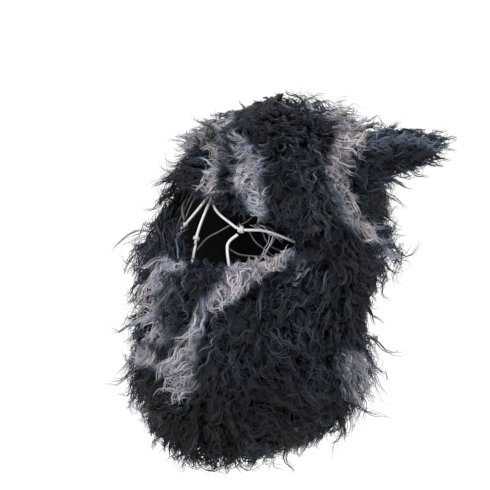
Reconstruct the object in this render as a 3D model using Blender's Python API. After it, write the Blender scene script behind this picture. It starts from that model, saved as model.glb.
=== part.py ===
"""A furry monster mask: a long-pile balaclava hood with two ears and a web of round cord across its eye slot.

Metres, +Z up. The wearer looks along -Y and the wearer's left is +X. The origin is where the crown of the head
touches the inside of the hood. The hood is as it hangs on a head: the neck is open below and nothing is inside.
"""

import math
import random
from collections import namedtuple

import bmesh
import bpy
from mathutils import Vector
from mathutils.bvhtree import BVHTree

MM = 0.001
GAP = 0.35 * MM

# Cloth and pile
WALL = 2.0 * MM
UNDERFUR = 6.0 * MM
BACKING = WALL + GAP + UNDERFUR
LOCK_LENGTH = 27.0 * MM
LOCK_LENGTH_SPREAD = 0.25
CROWN_LOCK_SHARE = 0.75
LOCK_LEAN = 0.75
LOCK_SETTLING = 60 * MM
LOCK_SIDE_LEAN = 0.22

# The eye slot, as angles round the head from the front and heights below the crown
SLOT_HALF_ANGLE = math.radians(60)
SLOT_CORNER_HEIGHT = -97 * MM
SLOT_CORNER_GAPE = 4 * MM
SLOT_RISE = 17 * MM
SLOT_DROP = 36 * MM
SLOT_UPPER_SQUARENESS = 0.4
SLOT_LOWER_SQUARENESS = 0.9
SLOT_FADE = math.radians(24)

# How much higher the neck hem is behind than at the sides, and lower in front
HEM_SLANT = 7 * MM

# How finely the hood is divided
CROWN_RINGS = ((6, 0.05), (12, 0.105))
CROWN_END = 0.17
COLUMNS = 24
ROWS = 12
SLOT_ROW = 3
PLAN_ROUNDNESS = 2.2

# The inside of the hood, from the crown to the neck hem, in millimetres
Section = namedtuple("Section", "height half_width front back")
SECTIONS = (
    Section(height=0, half_width=0, front=0, back=0),
    Section(height=-9, half_width=34, front=27, back=46),
    Section(height=-32, half_width=59, front=61, back=73),
    Section(height=-68, half_width=75, front=90, back=89),
    Section(height=-112, half_width=83, front=109, back=99),
    Section(height=-154, half_width=80, front=118, back=92),
    Section(height=-196, half_width=80, front=110, back=94),
    Section(height=-236, half_width=84, front=101, back=102),
    Section(height=-272, half_width=77, front=92, back=95),
    Section(height=-298, half_width=58, front=82, back=78),
)

# The ears. The left one stands up and back, and the right one has flopped down, its angles in degrees
Ear = namedtuple("Ear", "name side length sweep rise root_tilt tip_tilt sink")
EARS = (
    Ear(name="ear_left", side=1, length=88 * MM, sweep=36, rise=18, root_tilt=45, tip_tilt=8, sink=25 * MM),
    Ear(name="ear_right", side=-1, length=70 * MM, sweep=-18, rise=-32, root_tilt=20, tip_tilt=-25, sink=16 * MM),
)
EAR_ROOT = Vector((57, 2, -20)) * MM
EAR_ROOT_HALF_HEIGHT = 32 * MM
EAR_TIP_HALF_HEIGHT = 8 * MM
EAR_ROOT_HALF_THICKNESS = 11 * MM
EAR_TIP_HALF_THICKNESS = 5 * MM
EAR_CUP = 4 * MM
EAR_COLUMNS = 8
EAR_ROWS = 5
EAR_LOCK_LENGTH = 19 * MM
EAR_LOCK_START = 6 * MM

# The cord web, in three layers behind the inner face
CORD_RADIUS = 1.5 * MM
THIN_CORD_RADIUS = 0.9 * MM
CORD_STEP = 8 * MM
CORD_SIDES = 8
FINE_STEPS = 200
SEAT_STEP = 0.1 * MM
SEAT_STEPS = 90
LAYER_DEPTH = {"front": 3.4 * MM, "middle": 6.2 * MM, "rear": 8.7 * MM}
KNOT_TUBE_RADIUS = 1.1 * MM
KNOT_STEPS = 10
KNOT_SIDES = 6


def clear_scene():
    for obj in list(bpy.data.objects):
        bpy.data.objects.remove(obj, do_unlink=True)


def fabric(name, rgb, roughness):
    material = bpy.data.materials.new(name)
    material.use_nodes = True
    shader = material.node_tree.nodes["Principled BSDF"]
    shader.inputs["Base Color"].default_value = (*rgb, 1.0)
    shader.inputs["Roughness"].default_value = roughness
    shader.inputs["Metallic"].default_value = 0.0
    return material


def place(data, name, material):
    obj = bpy.data.objects.new(name, data)
    obj.data.materials.append(material)
    bpy.context.scene.collection.objects.link(obj)
    return obj


def smoothstep(x):
    x = min(1.0, max(0.0, x))
    return x * x * (3 - 2 * x)


def mix(a, b, share):
    return a + (b - a) * share


def curve_through(values, position):
    """A Catmull-Rom curve through values, position running from 0 at the first to 1 at the last."""
    last = len(values) - 1
    at = min(max(position, 0.0), 1.0) * last
    i = min(int(at), last - 1)
    t = at - i
    before = values[i - 1] if i > 0 else 2 * values[0] - values[1]
    after = values[i + 2] if i + 2 <= last else 2 * values[last] - values[last - 1]
    a, b = values[i], values[i + 1]
    slope_a, slope_b = (b - before) / 2, (after - a) / 2
    return (
        (2 * t**3 - 3 * t**2 + 1) * a
        + (t**3 - 2 * t**2 + t) * slope_a
        + (-2 * t**3 + 3 * t**2) * b
        + (t**3 - t**2) * slope_b
    )


# The form of the hood


def profile(name, down):
    """One measure of the sections at a place down the hood, 0 at the crown and 1 at the hem."""
    return curve_through([getattr(row, name) for row in SECTIONS], down) * MM


def down_at_height(height):
    low, high = 0.0, 1.0
    for _ in range(40):
        middle = (low + high) / 2
        if profile("height", middle) > height:
            low = middle
        else:
            high = middle
    return (low + high) / 2


def inner_point(angle, down):
    """A point of the hood's inner face. Angle 0 is the front and a quarter turn is the wearer's left."""
    across, along = math.sin(angle), -math.cos(angle)
    power = 2 / PLAN_ROUNDNESS
    depth = profile("front" if along < 0 else "back", down)
    return Vector(
        (
            profile("half_width", down) * math.copysign(abs(across) ** power, across),
            depth * math.copysign(abs(along) ** power, along),
            profile("height", down) + HEM_SLANT * along * down**4,
        )
    )


def directions(angle, down):
    """Unit vectors at a point of the hood: outwards, and down along the cloth."""
    step = 0.004
    if down < step:
        return Vector((0, 0, 1)), Vector((math.sin(angle), -math.cos(angle), 0))
    above, below = inner_point(angle, down - step), inner_point(angle, min(down + step, 1))
    left, right = inner_point(angle - 0.03, down), inner_point(angle + 0.03, down)
    fall = (below - above).normalized()
    return fall.cross(right - left).normalized(), fall


def hood_point(angle, down, offset):
    """A point at a distance outwards from the hood's inner face."""
    return inner_point(angle, down) + directions(angle, down)[0] * offset


def directions_near(point, offset):
    """Outwards and down the cloth at a point that stands at an offset from the hood's inner face."""
    outwards, fall = Vector((0, 0, 1)), Vector()
    for _ in range(4):
        down = down_at_height(min(point.z - outwards.z * offset, -1 * MM))
        depth = profile("front" if point.y < 0 else "back", down)
        power = PLAN_ROUNDNESS / 2
        across = math.copysign(abs(point.x / profile("half_width", down)) ** power, point.x)
        along = math.copysign(abs(point.y / depth) ** power, point.y)
        outwards, fall = directions(math.atan2(across, -along), down)
    return outwards, fall


def slot_lips(angle):
    """How far down the hood the upper and lower lip of the eye slot are, at an angle inside the slot."""
    opened = max(0.0, 1 - (angle / SLOT_HALF_ANGLE) ** 2)
    upper = SLOT_CORNER_HEIGHT + SLOT_CORNER_GAPE + SLOT_RISE * opened**SLOT_UPPER_SQUARENESS
    lower = SLOT_CORNER_HEIGHT - SLOT_CORNER_GAPE - SLOT_DROP * opened**SLOT_LOWER_SQUARENESS
    return down_at_height(upper), down_at_height(lower)


def row_places(angle):
    """How far down the hood each row of the grid is at an angle, with two neighbouring rows on the slot's lips."""
    angle = math.remainder(angle, math.tau)
    plain = [mix(CROWN_END, 1, i / ROWS) for i in range(ROWS + 1)]
    upper, lower = slot_lips(min(abs(angle), SLOT_HALF_ANGLE))
    away = smoothstep((abs(angle) - SLOT_HALF_ANGLE) / SLOT_FADE)
    upper = mix(upper, plain[SLOT_ROW], away)
    lower = mix(lower, plain[SLOT_ROW + 1], away)
    above = [mix(CROWN_END, upper, i / SLOT_ROW) for i in range(SLOT_ROW + 1)]
    below_rows = ROWS - SLOT_ROW - 1
    below = [mix(lower, 1, i / below_rows) for i in range(below_rows + 1)]
    return above + below


def over_slot(column):
    """Whether the strip of cells after a column crosses the eye slot."""
    middle = math.remainder(math.tau * (column + 0.5) / COLUMNS, math.tau)
    return abs(middle) < SLOT_HALF_ANGLE


# One skin of the hood, which its cloth, its pile and the ears' seat share


def skin(bm, offset):
    """A skin at a distance from the hood's inner face: its columns of vertices, and its cells as outward corners."""

    def ring_of(count, down):
        return [bm.verts.new(hood_point(math.tau * j / count, down, offset)) for j in range(count)]

    crown = bm.verts.new((0, 0, offset))
    rings = [ring_of(count, down) for count, down in CROWN_RINGS]
    columns = []
    for j in range(COLUMNS):
        angle = math.tau * j / COLUMNS
        columns.append([bm.verts.new(hood_point(angle, down, offset)) for down in row_places(angle)])
    rings.append([column[0] for column in columns])
    cells = [(crown, a, b) for a, b in neighbours(rings[0])]
    for inner, outer in zip(rings, rings[1:]):
        for j, (a, b) in enumerate(neighbours(inner)):
            cells.append((a, *(outer[(2 * j + k) % len(outer)] for k in range(3)), b))
    for j, (here, beside) in enumerate(neighbours(columns)):
        for i in range(ROWS):
            if i != SLOT_ROW or not over_slot(j):
                cells.append((here[i], here[i + 1], beside[i + 1], beside[i]))
    return columns, cells


def neighbours(ring):
    return zip(ring, ring[1:] + ring[:1])


def cover(bm, cell, outward=True):
    """Flat triangles over a cell, split the same way in every skin."""
    if len(cell) == 5:
        triangles = [cell[0:3], (cell[0], cell[2], cell[4]), (cell[4], cell[2], cell[3])]
    else:
        triangles = [(cell[0], cell[k], cell[k + 1]) for k in range(1, len(cell) - 1)]
    for triangle in triangles:
        bm.faces.new(triangle if outward else tuple(reversed(triangle)))


def close_rims(bm, inner, outer):
    """Faces from each open edge of the inner skin to the same edge of the outer one."""
    pair = {}
    for inner_column, outer_column in zip(inner, outer):
        pair.update(zip(inner_column, outer_column))
    rims = [e for e in bm.edges if e.is_boundary and e.verts[0] in pair and e.verts[1] in pair]
    for edge in rims:
        loop = edge.link_loops[0]
        a, b = loop.vert, loop.link_loop_next.vert
        bm.faces.new((b, a, pair[a]))
        bm.faces.new((b, pair[a], pair[b]))


def finished(bm, name):
    bmesh.ops.recalc_face_normals(bm, faces=bm.faces)
    mesh = bpy.data.meshes.new(name)
    bm.to_mesh(mesh)
    bm.free()
    mesh.shade_smooth()
    mesh.set_sharp_from_angle(angle=math.radians(50))
    return mesh


def cloth_mesh():
    """The hood's knitted cloth as one closed body, open at the neck and at the eye slot."""
    bm = bmesh.new()
    inner, inner_cells = skin(bm, 0.0)
    outer, outer_cells = skin(bm, WALL)
    for cell in inner_cells:
        cover(bm, cell, outward=False)
    close_rims(bm, inner, outer)
    for cell in outer_cells:
        cover(bm, cell)
    return finished(bm, "hood_body")


# The pile


def centre_of(corners):
    return sum((v.co for v in corners), Vector()) / len(corners)


def normal_of(corners):
    """The outward direction of a ring of corners."""
    total = Vector()
    for a, b in neighbours(list(corners)):
        total += a.co.cross(b.co)
    return total.normalized()


def raise_lock(bm, corners, reach, rng):
    """A tapering lock of pile drawn out of one cell of the backing, bent over along its reach."""
    middle = centre_of(corners)
    outward = normal_of(corners)
    rise = outward * reach.dot(outward)
    lean = reach - rise
    twist = Vector([rng.uniform(-1, 1) for _ in range(3)]) * reach.length * 0.1
    below = list(corners)
    for width, risen, leant in ((0.86, 0.5, 0.22), (0.5, 0.86, 0.62)):
        shift = rise * risen + lean * leant + twist * leant
        ring = [bm.verts.new(middle + shift + (v.co - middle) * width) for v in corners]
        for (a, b), (c, d) in zip(neighbours(below), neighbours(ring)):
            bm.faces.new((a, b, d, c))
        below = ring
    tip = bm.verts.new(middle + reach + twist)
    for a, b in neighbours(below):
        bm.faces.new((a, b, tip))


def clear_of(tree, start, reach, base_width):
    """Whether a lock keeps its own thickness away from every face in a tree."""
    for share, width in ((0.0, 0.75), (0.45, 0.6), (0.8, 0.4), (1.0, 0.15)):
        if tree.find_nearest(start + reach * share, base_width * width)[0] is not None:
            return False
    return True


def pile_mesh(ears):
    """The hood's pile: locks raised from a backing that wraps the cloth, with bare backing where the ears are."""
    rng = random.Random(11)
    bm = bmesh.new()
    inner, inner_cells = skin(bm, WALL + GAP)
    outer, outer_cells = skin(bm, BACKING)
    for cell in inner_cells:
        cover(bm, cell, outward=False)
    close_rims(bm, inner, outer)
    for cell in outer_cells:
        middle = centre_of(cell)
        outwards, fall = directions_near(middle, BACKING)
        half_size = sum((v.co - middle).length for v in cell) / len(cell)
        settled = smoothstep(-middle.z / LOCK_SETTLING)
        length = LOCK_LENGTH * (1 + rng.uniform(-1, 1) * LOCK_LENGTH_SPREAD) * mix(CROWN_LOCK_SHARE, 1, settled)
        lean = LOCK_LEAN * mix(0.6, 1, settled)
        aside = outwards.cross(fall) * rng.uniform(-1, 1) * LOCK_SIDE_LEAN
        reach = (outwards + fall * lean + aside).normalized() * length
        if all(clear_of(tree, middle, reach, half_size) for tree in ears):
            raise_lock(bm, cell, reach, rng)
        else:
            cover(bm, cell)
    return finished(bm, "hood_pile")


# The ears


def ear_ring(ear, t):
    """The middle of an ear's cross-section at t, its direction along to the tip, its upright and its forward."""
    sweep, rise = math.radians(ear.sweep), math.radians(ear.rise)
    tilt = math.radians(mix(ear.root_tilt, ear.tip_tilt, smoothstep(t)))
    along = Vector((math.cos(rise) * math.cos(sweep), math.cos(rise) * math.sin(sweep), math.sin(rise)))
    upright = Vector((-math.sin(tilt), 0, math.cos(tilt)))
    forward = upright.cross(along).normalized()
    middle = EAR_ROOT + along * mix(-ear.sink, ear.length, t)
    mirror = Vector((ear.side, 1, 1))
    return [v * mirror for v in (middle, along, upright, forward)]


def ear_mesh(ear, seat):
    """An ear as a flattened horn from inside the hood to its tip, with locks where it stands out of its seat."""
    rng = random.Random(23)
    bm = bmesh.new()
    rings = []
    for i in range(EAR_ROWS + 1):
        t = i / EAR_ROWS
        middle, along, upright, forward = ear_ring(ear, t)
        half_height = mix(EAR_ROOT_HALF_HEIGHT, EAR_TIP_HALF_HEIGHT, t**1.3)
        half_thick = mix(EAR_ROOT_HALF_THICKNESS, EAR_TIP_HALF_THICKNESS, t)
        ring = []
        for k in range(EAR_COLUMNS):
            turn = math.tau * (k + 0.5) / EAR_COLUMNS
            cup = EAR_CUP * math.cos(turn) ** 2 * math.sin(math.pi * t)
            spot = upright * half_height * math.cos(turn) + forward * (half_thick * math.sin(turn) + cup)
            ring.append(bm.verts.new(middle + spot))
        rings.append(ring if ear.side > 0 else ring[::-1])
    bm.faces.new(rings[0])
    for near, far in zip(rings, rings[1:]):
        for (a, b), (c, d) in zip(neighbours(near), neighbours(far)):
            add_ear_cell(bm, (a, c, d, b), along, seat, rng)
    add_ear_cell(bm, rings[-1][::-1], along, seat, rng)
    return finished(bm, ear.name)


def add_ear_cell(bm, corners, along, seat, rng):
    middle = centre_of(corners)
    outwards = normal_of(corners)
    length = EAR_LOCK_LENGTH * (1 + rng.uniform(-1, 1) * LOCK_LENGTH_SPREAD)
    aside = outwards.cross(along) * rng.uniform(-1, 1) * LOCK_SIDE_LEAN
    reach = (outwards + along * LOCK_LEAN + aside).normalized() * length
    ground, ground_normal, _, _ = seat.find_nearest(middle)
    if (middle - ground).dot(ground_normal) > EAR_LOCK_START:
        raise_lock(bm, corners, reach, rng)
    else:
        bm.faces.new(corners)


def seat_object():
    """A closed form of the pile's backing, one gap larger, that trims each ear's root to its seat."""
    bm = bmesh.new()
    columns, cells = skin(bm, BACKING + GAP)
    for cell in cells:
        cover(bm, cell)
    for j, (here, beside) in enumerate(neighbours(columns)):
        if over_slot(j):
            cover(bm, (here[SLOT_ROW], here[SLOT_ROW + 1], beside[SLOT_ROW + 1], beside[SLOT_ROW]))
    bm.faces.new([column[-1] for column in reversed(columns)])
    obj = bpy.data.objects.new("ear_seat_cutter", finished(bm, "ear_seat_cutter"))
    bpy.context.scene.collection.objects.link(obj)
    obj.hide_render = True
    obj.display_type = "WIRE"
    return obj


def add_ear(ear, material, cutter, seat):
    obj = place(ear_mesh(ear, seat), ear.name, material)
    trim = obj.modifiers.new("seat", "BOOLEAN")
    trim.operation = "DIFFERENCE"
    trim.solver = "EXACT"
    trim.object = cutter
    return obj


def surface_of(obj):
    """A tree of an object's faces, with its modifiers applied."""
    return BVHTree.FromObject(obj, bpy.context.evaluated_depsgraph_get())


# The cord web

Strand = namedtuple("Strand", "name radius layer path")

MAIN, THIN = CORD_RADIUS, THIN_CORD_RADIUS

# Each path is a few (turn, height) places, the turn in degrees round from the front and the height in millimetres
STRANDS = (
    Strand("brow_to_corner", MAIN, "front", ((-1, -68), (4, -87), (17, -92), (25, -95), (42, -92), (66, -100))),
    Strand("knot_to_cheek", MAIN, "front", ((24, -100), (20.5, -108), (21.5, -116), (30, -137))),
    Strand("brow_to_far_cheek", MAIN, "front", ((-9, -68), (-11, -88), (-16, -108), (-23, -122), (-28, -138))),
    Strand("brow_to_nose", MAIN, "front", ((-5, -68), (-3.6, -90), (-2, -110), (0, -122), (3, -145))),
    Strand("far_corner", MAIN, "front", ((-20, -105), (-30, -101), (-46, -97), (-66, -97))),
    Strand("brow_line", THIN, "front", ((21, -69), (27, -80), (33, -79.5), (43, -82.5), (54, -78))),
    Strand("brow_stay", THIN, "middle", ((20.5, -93.2), (27, -85), (31, -70))),
    Strand("curved_fall", THIN, "middle", ((32, -94), (36, -88), (44, -89), (48, -95), (46, -108), (40, -130))),
    Strand("arch", THIN, "middle", ((0.3, -124.5), (4, -111), (10, -102), (17, -92))),
    Strand("far_stay", THIN, "middle", ((-28, -70), (-26, -95), (-25, -106), (-36, -134))),
    Strand("far_fall", THIN, "middle", ((-40, -72), (-44, -98), (-41, -130))),
    Strand("low_stay", THIN, "rear", ((30, -94.6), (37, -103), (44, -108), (54, -116))),
    Strand("corner_stay", THIN, "rear", ((39, -92.4), (44, -101), (50, -106), (60, -110))),
    Strand("cheek_line", THIN, "rear", ((21.2, -114), (30, -117), (43, -116), (57, -117))),
)

Knot = namedtuple("Knot", "name strand turn")
KNOTS = (
    Knot("cheek_knot", "brow_to_corner", 25),
    Knot("far_knot", "brow_to_far_cheek", -16),
    Knot("nose_knot", "brow_to_nose", -1.3),
)


def place_along(strand, share):
    """The turn in degrees and the height in millimetres at a share of a strand's path."""
    return tuple(curve_through([place[k] for place in strand.path], share) for k in (0, 1))


def strand_line(strand):
    """Closely spaced points of a strand, on its layer behind the inner face."""
    line = []
    for i in range(FINE_STEPS + 1):
        turn, height = place_along(strand, i / FINE_STEPS)
        line.append(hood_point(math.radians(turn), down_at_height(height * MM), -LAYER_DEPTH[strand.layer]))
    return line


def thinned(line, step):
    """The points of a line that are about a step apart, with both of its ends."""
    run = [0.0]
    for a, b in zip(line, line[1:]):
        run.append(run[-1] + (b - a).length)
    count = max(2, round(run[-1] / step))
    targets = [run[-1] * i / count for i in range(count + 1)]
    return [line[min(range(len(run)), key=lambda j: abs(run[j] - target))] for target in targets]


def tube(points, radius, sides):
    """A closed tube of round section along a line of points, or round a closed ring of them."""
    bm = bmesh.new()
    closed = points[0] == points[-1]
    line = points[:-1] if closed else points
    last = len(line) - 1
    rings = []
    side = None
    for i, point in enumerate(line):
        before = line[i - 1] if i > 0 or closed else point
        after = line[(i + 1) % len(line)] if i < last or closed else point
        ahead = (after - before).normalized()
        guess = side if side is not None else ahead.orthogonal()
        side = (guess - ahead * guess.dot(ahead)).normalized()
        up = ahead.cross(side)
        turns = [math.tau * k / sides for k in range(sides)]
        rings.append([bm.verts.new(point + (side * math.cos(t) + up * math.sin(t)) * radius) for t in turns])
    for near, far in neighbours(rings) if closed else zip(rings, rings[1:]):
        for (a, b), (c, d) in zip(neighbours(near), neighbours(far)):
            bm.faces.new((a, b, d, c))
    if not closed:
        bm.faces.new(rings[0][::-1])
        bm.faces.new(rings[-1])
    return bm


def seated(point, radius, carriers):
    """A strand's end moved outwards until it just clears what it is tied to, or left where nothing is near."""
    outwards, _ = directions_near(point, 0.0)
    for i in range(SEAT_STEPS):
        tried = point + outwards * (SEAT_STEP * i)
        near = min(tree.find_nearest(tried)[3] for tree in carriers)
        if near <= radius + GAP:
            return tried
    return point


def add_strand(strand, material, carriers):
    name = "cord_" + strand.name
    points = thinned(strand_line(strand), CORD_STEP)
    for end, inner in ((0, 1), (-1, -2)):
        shift = seated(points[end], strand.radius, carriers) - points[end]
        points[end] = points[end] + shift
        points[inner] = points[inner] + shift * 0.4
    return place(finished(tube(points, strand.radius, CORD_SIDES), name), name, material)


def add_knot(knot, material):
    """A wrap of cord round a strand, where another one is tied to it."""
    strand = next(s for s in STRANDS if s.name == knot.strand)
    line = strand_line(strand)
    i = min(range(1, FINE_STEPS), key=lambda j: abs(place_along(strand, j / FINE_STEPS)[0] - knot.turn))
    middle = line[i]
    ahead = (line[i + 1] - line[i - 1]).normalized()
    side = ahead.orthogonal().normalized()
    up = ahead.cross(side)
    reach = strand.radius + GAP + KNOT_TUBE_RADIUS
    turns = [math.tau * k / KNOT_STEPS for k in range(KNOT_STEPS)]
    ring = [middle + (side * math.cos(t) + up * math.sin(t)) * reach / math.cos(math.pi / KNOT_STEPS) for t in turns]
    place(finished(tube(ring + ring[:1], KNOT_TUBE_RADIUS, KNOT_SIDES), knot.name), knot.name, material)


def main():
    clear_scene()
    knit = fabric("black_knit_backing", (0.012, 0.012, 0.016), 0.9)
    pile = fabric("charcoal_curly_pile", (0.035, 0.042, 0.055), 0.85)
    cord = fabric("white_round_cord", (0.75, 0.75, 0.78), 0.4)
    cloth = place(cloth_mesh(), "hood_body", knit)
    cutter = seat_object()
    seat = surface_of(cutter)
    ears = [add_ear(ear, pile, cutter, seat) for ear in EARS]
    place(pile_mesh([surface_of(ear) for ear in ears]), "hood_pile", pile)
    carriers = [surface_of(cloth)]
    for strand in STRANDS:
        carriers.append(surface_of(add_strand(strand, cord, carriers)))
    for knot in KNOTS:
        add_knot(knot, cord)


main()
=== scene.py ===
"""Dresses the furry monster mask.

It has a knitted lining, long curly pile dyed in patches, two ears and a web of cord. Metres, +Z up.
The wearer looks along -Y and the wearer's left is +X. The origin is inside the crown of the hood.
"""

import math
from collections import namedtuple

import bpy
import numpy as np
from mathutils import Matrix, Vector
from mathutils.bvhtree import BVHTree


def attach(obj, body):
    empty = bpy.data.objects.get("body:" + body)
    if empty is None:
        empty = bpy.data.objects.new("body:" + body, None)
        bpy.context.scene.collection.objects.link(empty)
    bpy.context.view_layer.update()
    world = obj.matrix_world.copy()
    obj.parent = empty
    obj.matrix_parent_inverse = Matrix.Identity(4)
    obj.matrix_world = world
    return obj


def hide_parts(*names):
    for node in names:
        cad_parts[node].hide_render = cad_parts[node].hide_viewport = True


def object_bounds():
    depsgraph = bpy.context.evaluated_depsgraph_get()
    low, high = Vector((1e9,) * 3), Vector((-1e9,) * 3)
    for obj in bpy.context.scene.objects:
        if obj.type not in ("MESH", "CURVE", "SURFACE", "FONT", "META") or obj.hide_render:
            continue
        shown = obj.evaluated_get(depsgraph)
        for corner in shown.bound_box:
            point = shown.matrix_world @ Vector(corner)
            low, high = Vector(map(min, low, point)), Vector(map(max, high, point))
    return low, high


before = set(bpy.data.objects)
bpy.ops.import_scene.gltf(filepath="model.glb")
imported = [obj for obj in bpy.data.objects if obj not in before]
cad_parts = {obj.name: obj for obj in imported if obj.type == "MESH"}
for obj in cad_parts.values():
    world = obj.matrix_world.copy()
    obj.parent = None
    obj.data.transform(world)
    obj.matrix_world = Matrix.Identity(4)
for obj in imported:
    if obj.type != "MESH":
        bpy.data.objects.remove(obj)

CAD_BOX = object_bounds()
MM = 0.001

# The frame of the photograph, in pixels, and where the middle of the hood stands in it
FRAME_SIDE = 490
HOOD_MIDDLE_PIXEL = (267.8, 270.7)
HOOD_MIDDLE = Vector((0, 0, -150)) * MM
PIXELS_PER_METRE = 1036
CAMERA_AZIMUTH = math.radians(40)
CAMERA_ELEVATION = math.radians(12.9)
CAMERA_ROLL = math.radians(12.1)
CAMERA_DISTANCE = 1.8
SENSOR = 36.0

# The hood, as the solids have it
GAP = 0.35 * MM
WALL = 2.0 * MM
UNDERFUR = 6.0 * MM
BACKING = WALL + GAP + UNDERFUR
PLAN_ROUNDNESS = 2.2
HEM_SLANT = 7 * MM
CROWN_TOP = 0.015

# Sections of the hood's inner face from the crown down, in millimetres
Section = namedtuple("Section", "height half_width front back")
SECTIONS = (
    Section(0, 0, 0, 0),
    Section(-9, 34, 27, 46),
    Section(-32, 59, 61, 73),
    Section(-68, 75, 90, 89),
    Section(-112, 83, 109, 99),
    Section(-154, 80, 118, 92),
    Section(-196, 80, 110, 94),
    Section(-236, 84, 101, 102),
    Section(-272, 77, 92, 95),
    Section(-298, 58, 82, 78),
)

# The eye slot. Past its corners the cloth's grid runs on to two even places down the hood
SLOT_HALF_ANGLE = math.radians(60)
SLOT_CORNER_HEIGHT = -97 * MM
SLOT_CORNER_GAPE = 4 * MM
SLOT_RISE = 17 * MM
SLOT_DROP = 36 * MM
SLOT_UPPER_SQUARENESS = 0.4
SLOT_LOWER_SQUARENESS = 0.9
SLOT_FADE = math.radians(24)
BESIDE_SLOT = (0.3775, 0.4467)
SLOT_OVERHANG = 8 * MM

# The ears, angles in degrees. Fall: how much their fur hangs. Crest: how much of it the upper edge keeps
Ear = namedtuple("Ear", "name side length sweep rise root_tilt tip_tilt sink fall crest")
EARS = (
    Ear(name="ear_left", side=1, length=88 * MM, sweep=36, rise=18, root_tilt=45, tip_tilt=8,
        sink=25 * MM, fall=0.2, crest=1.0),
    Ear(name="ear_right", side=-1, length=70 * MM, sweep=-18, rise=-32, root_tilt=20, tip_tilt=-25,
        sink=16 * MM, fall=-0.15, crest=0.3),
)
EAR_ROOT = np.array((57, 2, -20)) * MM
EAR_HALF_HEIGHT = (32 * MM, 8 * MM)
EAR_HALF_THICKNESS = (11 * MM, 5 * MM)
EAR_TAPER = 1.3
EAR_CUP = 4 * MM


# Numbers

PLASTIC_NUMBER = 1.32471795724


def smoothstep(x):
    x = np.clip(x, 0.0, 1.0)
    return x * x * (3 - 2 * x)


def mix(a, b, share):
    return a + (b - a) * share


def unit(vectors):
    return vectors / np.maximum(np.linalg.norm(vectors, axis=-1, keepdims=True), 1e-12)


def curve_through(values, position):
    """A smooth curve through numbers or rows, position running from 0 at the first to 1 at the last."""
    values = np.asarray(values, float)
    last = len(values) - 1
    padded = np.concatenate((2 * values[:1] - values[1:2], values, 2 * values[-1:] - values[-2:-1]))
    at = np.clip(position, 0, 1) * last
    i = np.minimum(at.astype(int), last - 1)
    t = at - i
    if values.ndim > 1:
        t = t[..., None]
    before, a, b, after = (padded[i + k] for k in range(4))
    return (
        (2 * t**3 - 3 * t**2 + 1) * a
        + (t**3 - 2 * t**2 + t) * (b - before) / 2
        + (-2 * t**3 + 3 * t**2) * b
        + (t**3 - t**2) * (after - a) / 2
    )


def wander(points, size, seed, waves=7):
    """A smooth random field between about -1 and 1 whose lumps are about a size across."""
    rng = np.random.default_rng(seed)
    total = np.zeros(points.shape[:-1])
    for _ in range(waves):
        heading = unit(rng.normal(size=3)) * rng.uniform(0.6, 1.4) * math.pi / size
        total += np.sin(points @ heading + rng.uniform(0, math.tau))
    return total / math.sqrt(waves)


def even_shares(count, start):
    """Pairs of shares between 0 and 1 that fill the square evenly, by the plastic number's steps."""
    steps = np.array((1 / PLASTIC_NUMBER, 1 / PLASTIC_NUMBER**2))
    return (start + (1 + np.arange(count))[:, None] * steps) % 1.0


# The form of the hood


def profile(name, down):
    """One measure of the sections at a place down the hood, 0 at the crown and 1 at the hem."""
    return curve_through([getattr(row, name) for row in SECTIONS], np.asarray(down, float)) * MM


DOWN_STEPS = np.linspace(0, 1, 2001)
HEIGHT_STEPS = profile("height", DOWN_STEPS)


def down_at_height(height):
    return np.interp(-np.asarray(height), -HEIGHT_STEPS, DOWN_STEPS)


def inner_point(angle, down):
    """Points of the hood's inner face. Angle 0 is the front and a quarter turn is the wearer's left."""
    angle, down = np.broadcast_arrays(np.asarray(angle, float), np.asarray(down, float))
    across, along = np.sin(angle), -np.cos(angle)
    power = 2 / PLAN_ROUNDNESS
    depth = np.where(along < 0, profile("front", down), profile("back", down))
    return np.stack(
        (
            profile("half_width", down) * np.sign(across) * np.abs(across) ** power,
            depth * np.sign(along) * np.abs(along) ** power,
            profile("height", down) + HEM_SLANT * along * down**4,
        ),
        -1,
    )


def directions(angle, down):
    """Unit vectors at places of the hood: outwards, and down along the cloth."""
    step, turn = 0.004, 0.03
    down = np.maximum(down, 1.01 * step)
    fall = unit(inner_point(angle, np.minimum(down + step, 1)) - inner_point(angle, down - step))
    around = inner_point(angle + turn, down) - inner_point(angle - turn, down)
    return unit(np.cross(fall, around)), fall


def hood_point(angle, down, offset):
    """Points at a distance outwards from the hood's inner face."""
    outwards, _ = directions(angle, down)
    return inner_point(angle, down) + outwards * np.asarray(offset)[..., None]


def slot_heights(angle):
    """The heights of the slot's upper and lower lip at angles. Past its corners the gape stays."""
    opened = np.clip(1 - (angle / SLOT_HALF_ANGLE) ** 2, 0, 1)
    upper = SLOT_CORNER_HEIGHT + SLOT_CORNER_GAPE + SLOT_RISE * opened**SLOT_UPPER_SQUARENESS
    lower = SLOT_CORNER_HEIGHT - SLOT_CORNER_GAPE - SLOT_DROP * opened**SLOT_LOWER_SQUARENESS
    return upper, lower


def folded(angle):
    """Angles brought to between minus and plus half a turn."""
    return np.remainder(angle + math.pi, math.tau) - math.pi


def in_slot(points, offset):
    """Which points, at about an offset from the inner face, hang too far over the eye slot."""
    down = down_at_height(points[..., 2])
    depth = np.where(points[..., 1] < 0, profile("front", down), profile("back", down)) + offset
    power = PLAN_ROUNDNESS / 2
    across = points[..., 0] / (profile("half_width", down) + offset)
    along = points[..., 1] / depth
    across, along = (np.sign(v) * np.abs(v) ** power for v in (across, along))
    angle = np.arctan2(across, -along)
    upper, lower = slot_heights(angle)
    height = points[..., 2]
    hidden = np.abs(angle) < SLOT_HALF_ANGLE
    return hidden & (height < upper - SLOT_OVERHANG) & (height > lower + SLOT_OVERHANG / 2)


# Meshes


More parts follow.
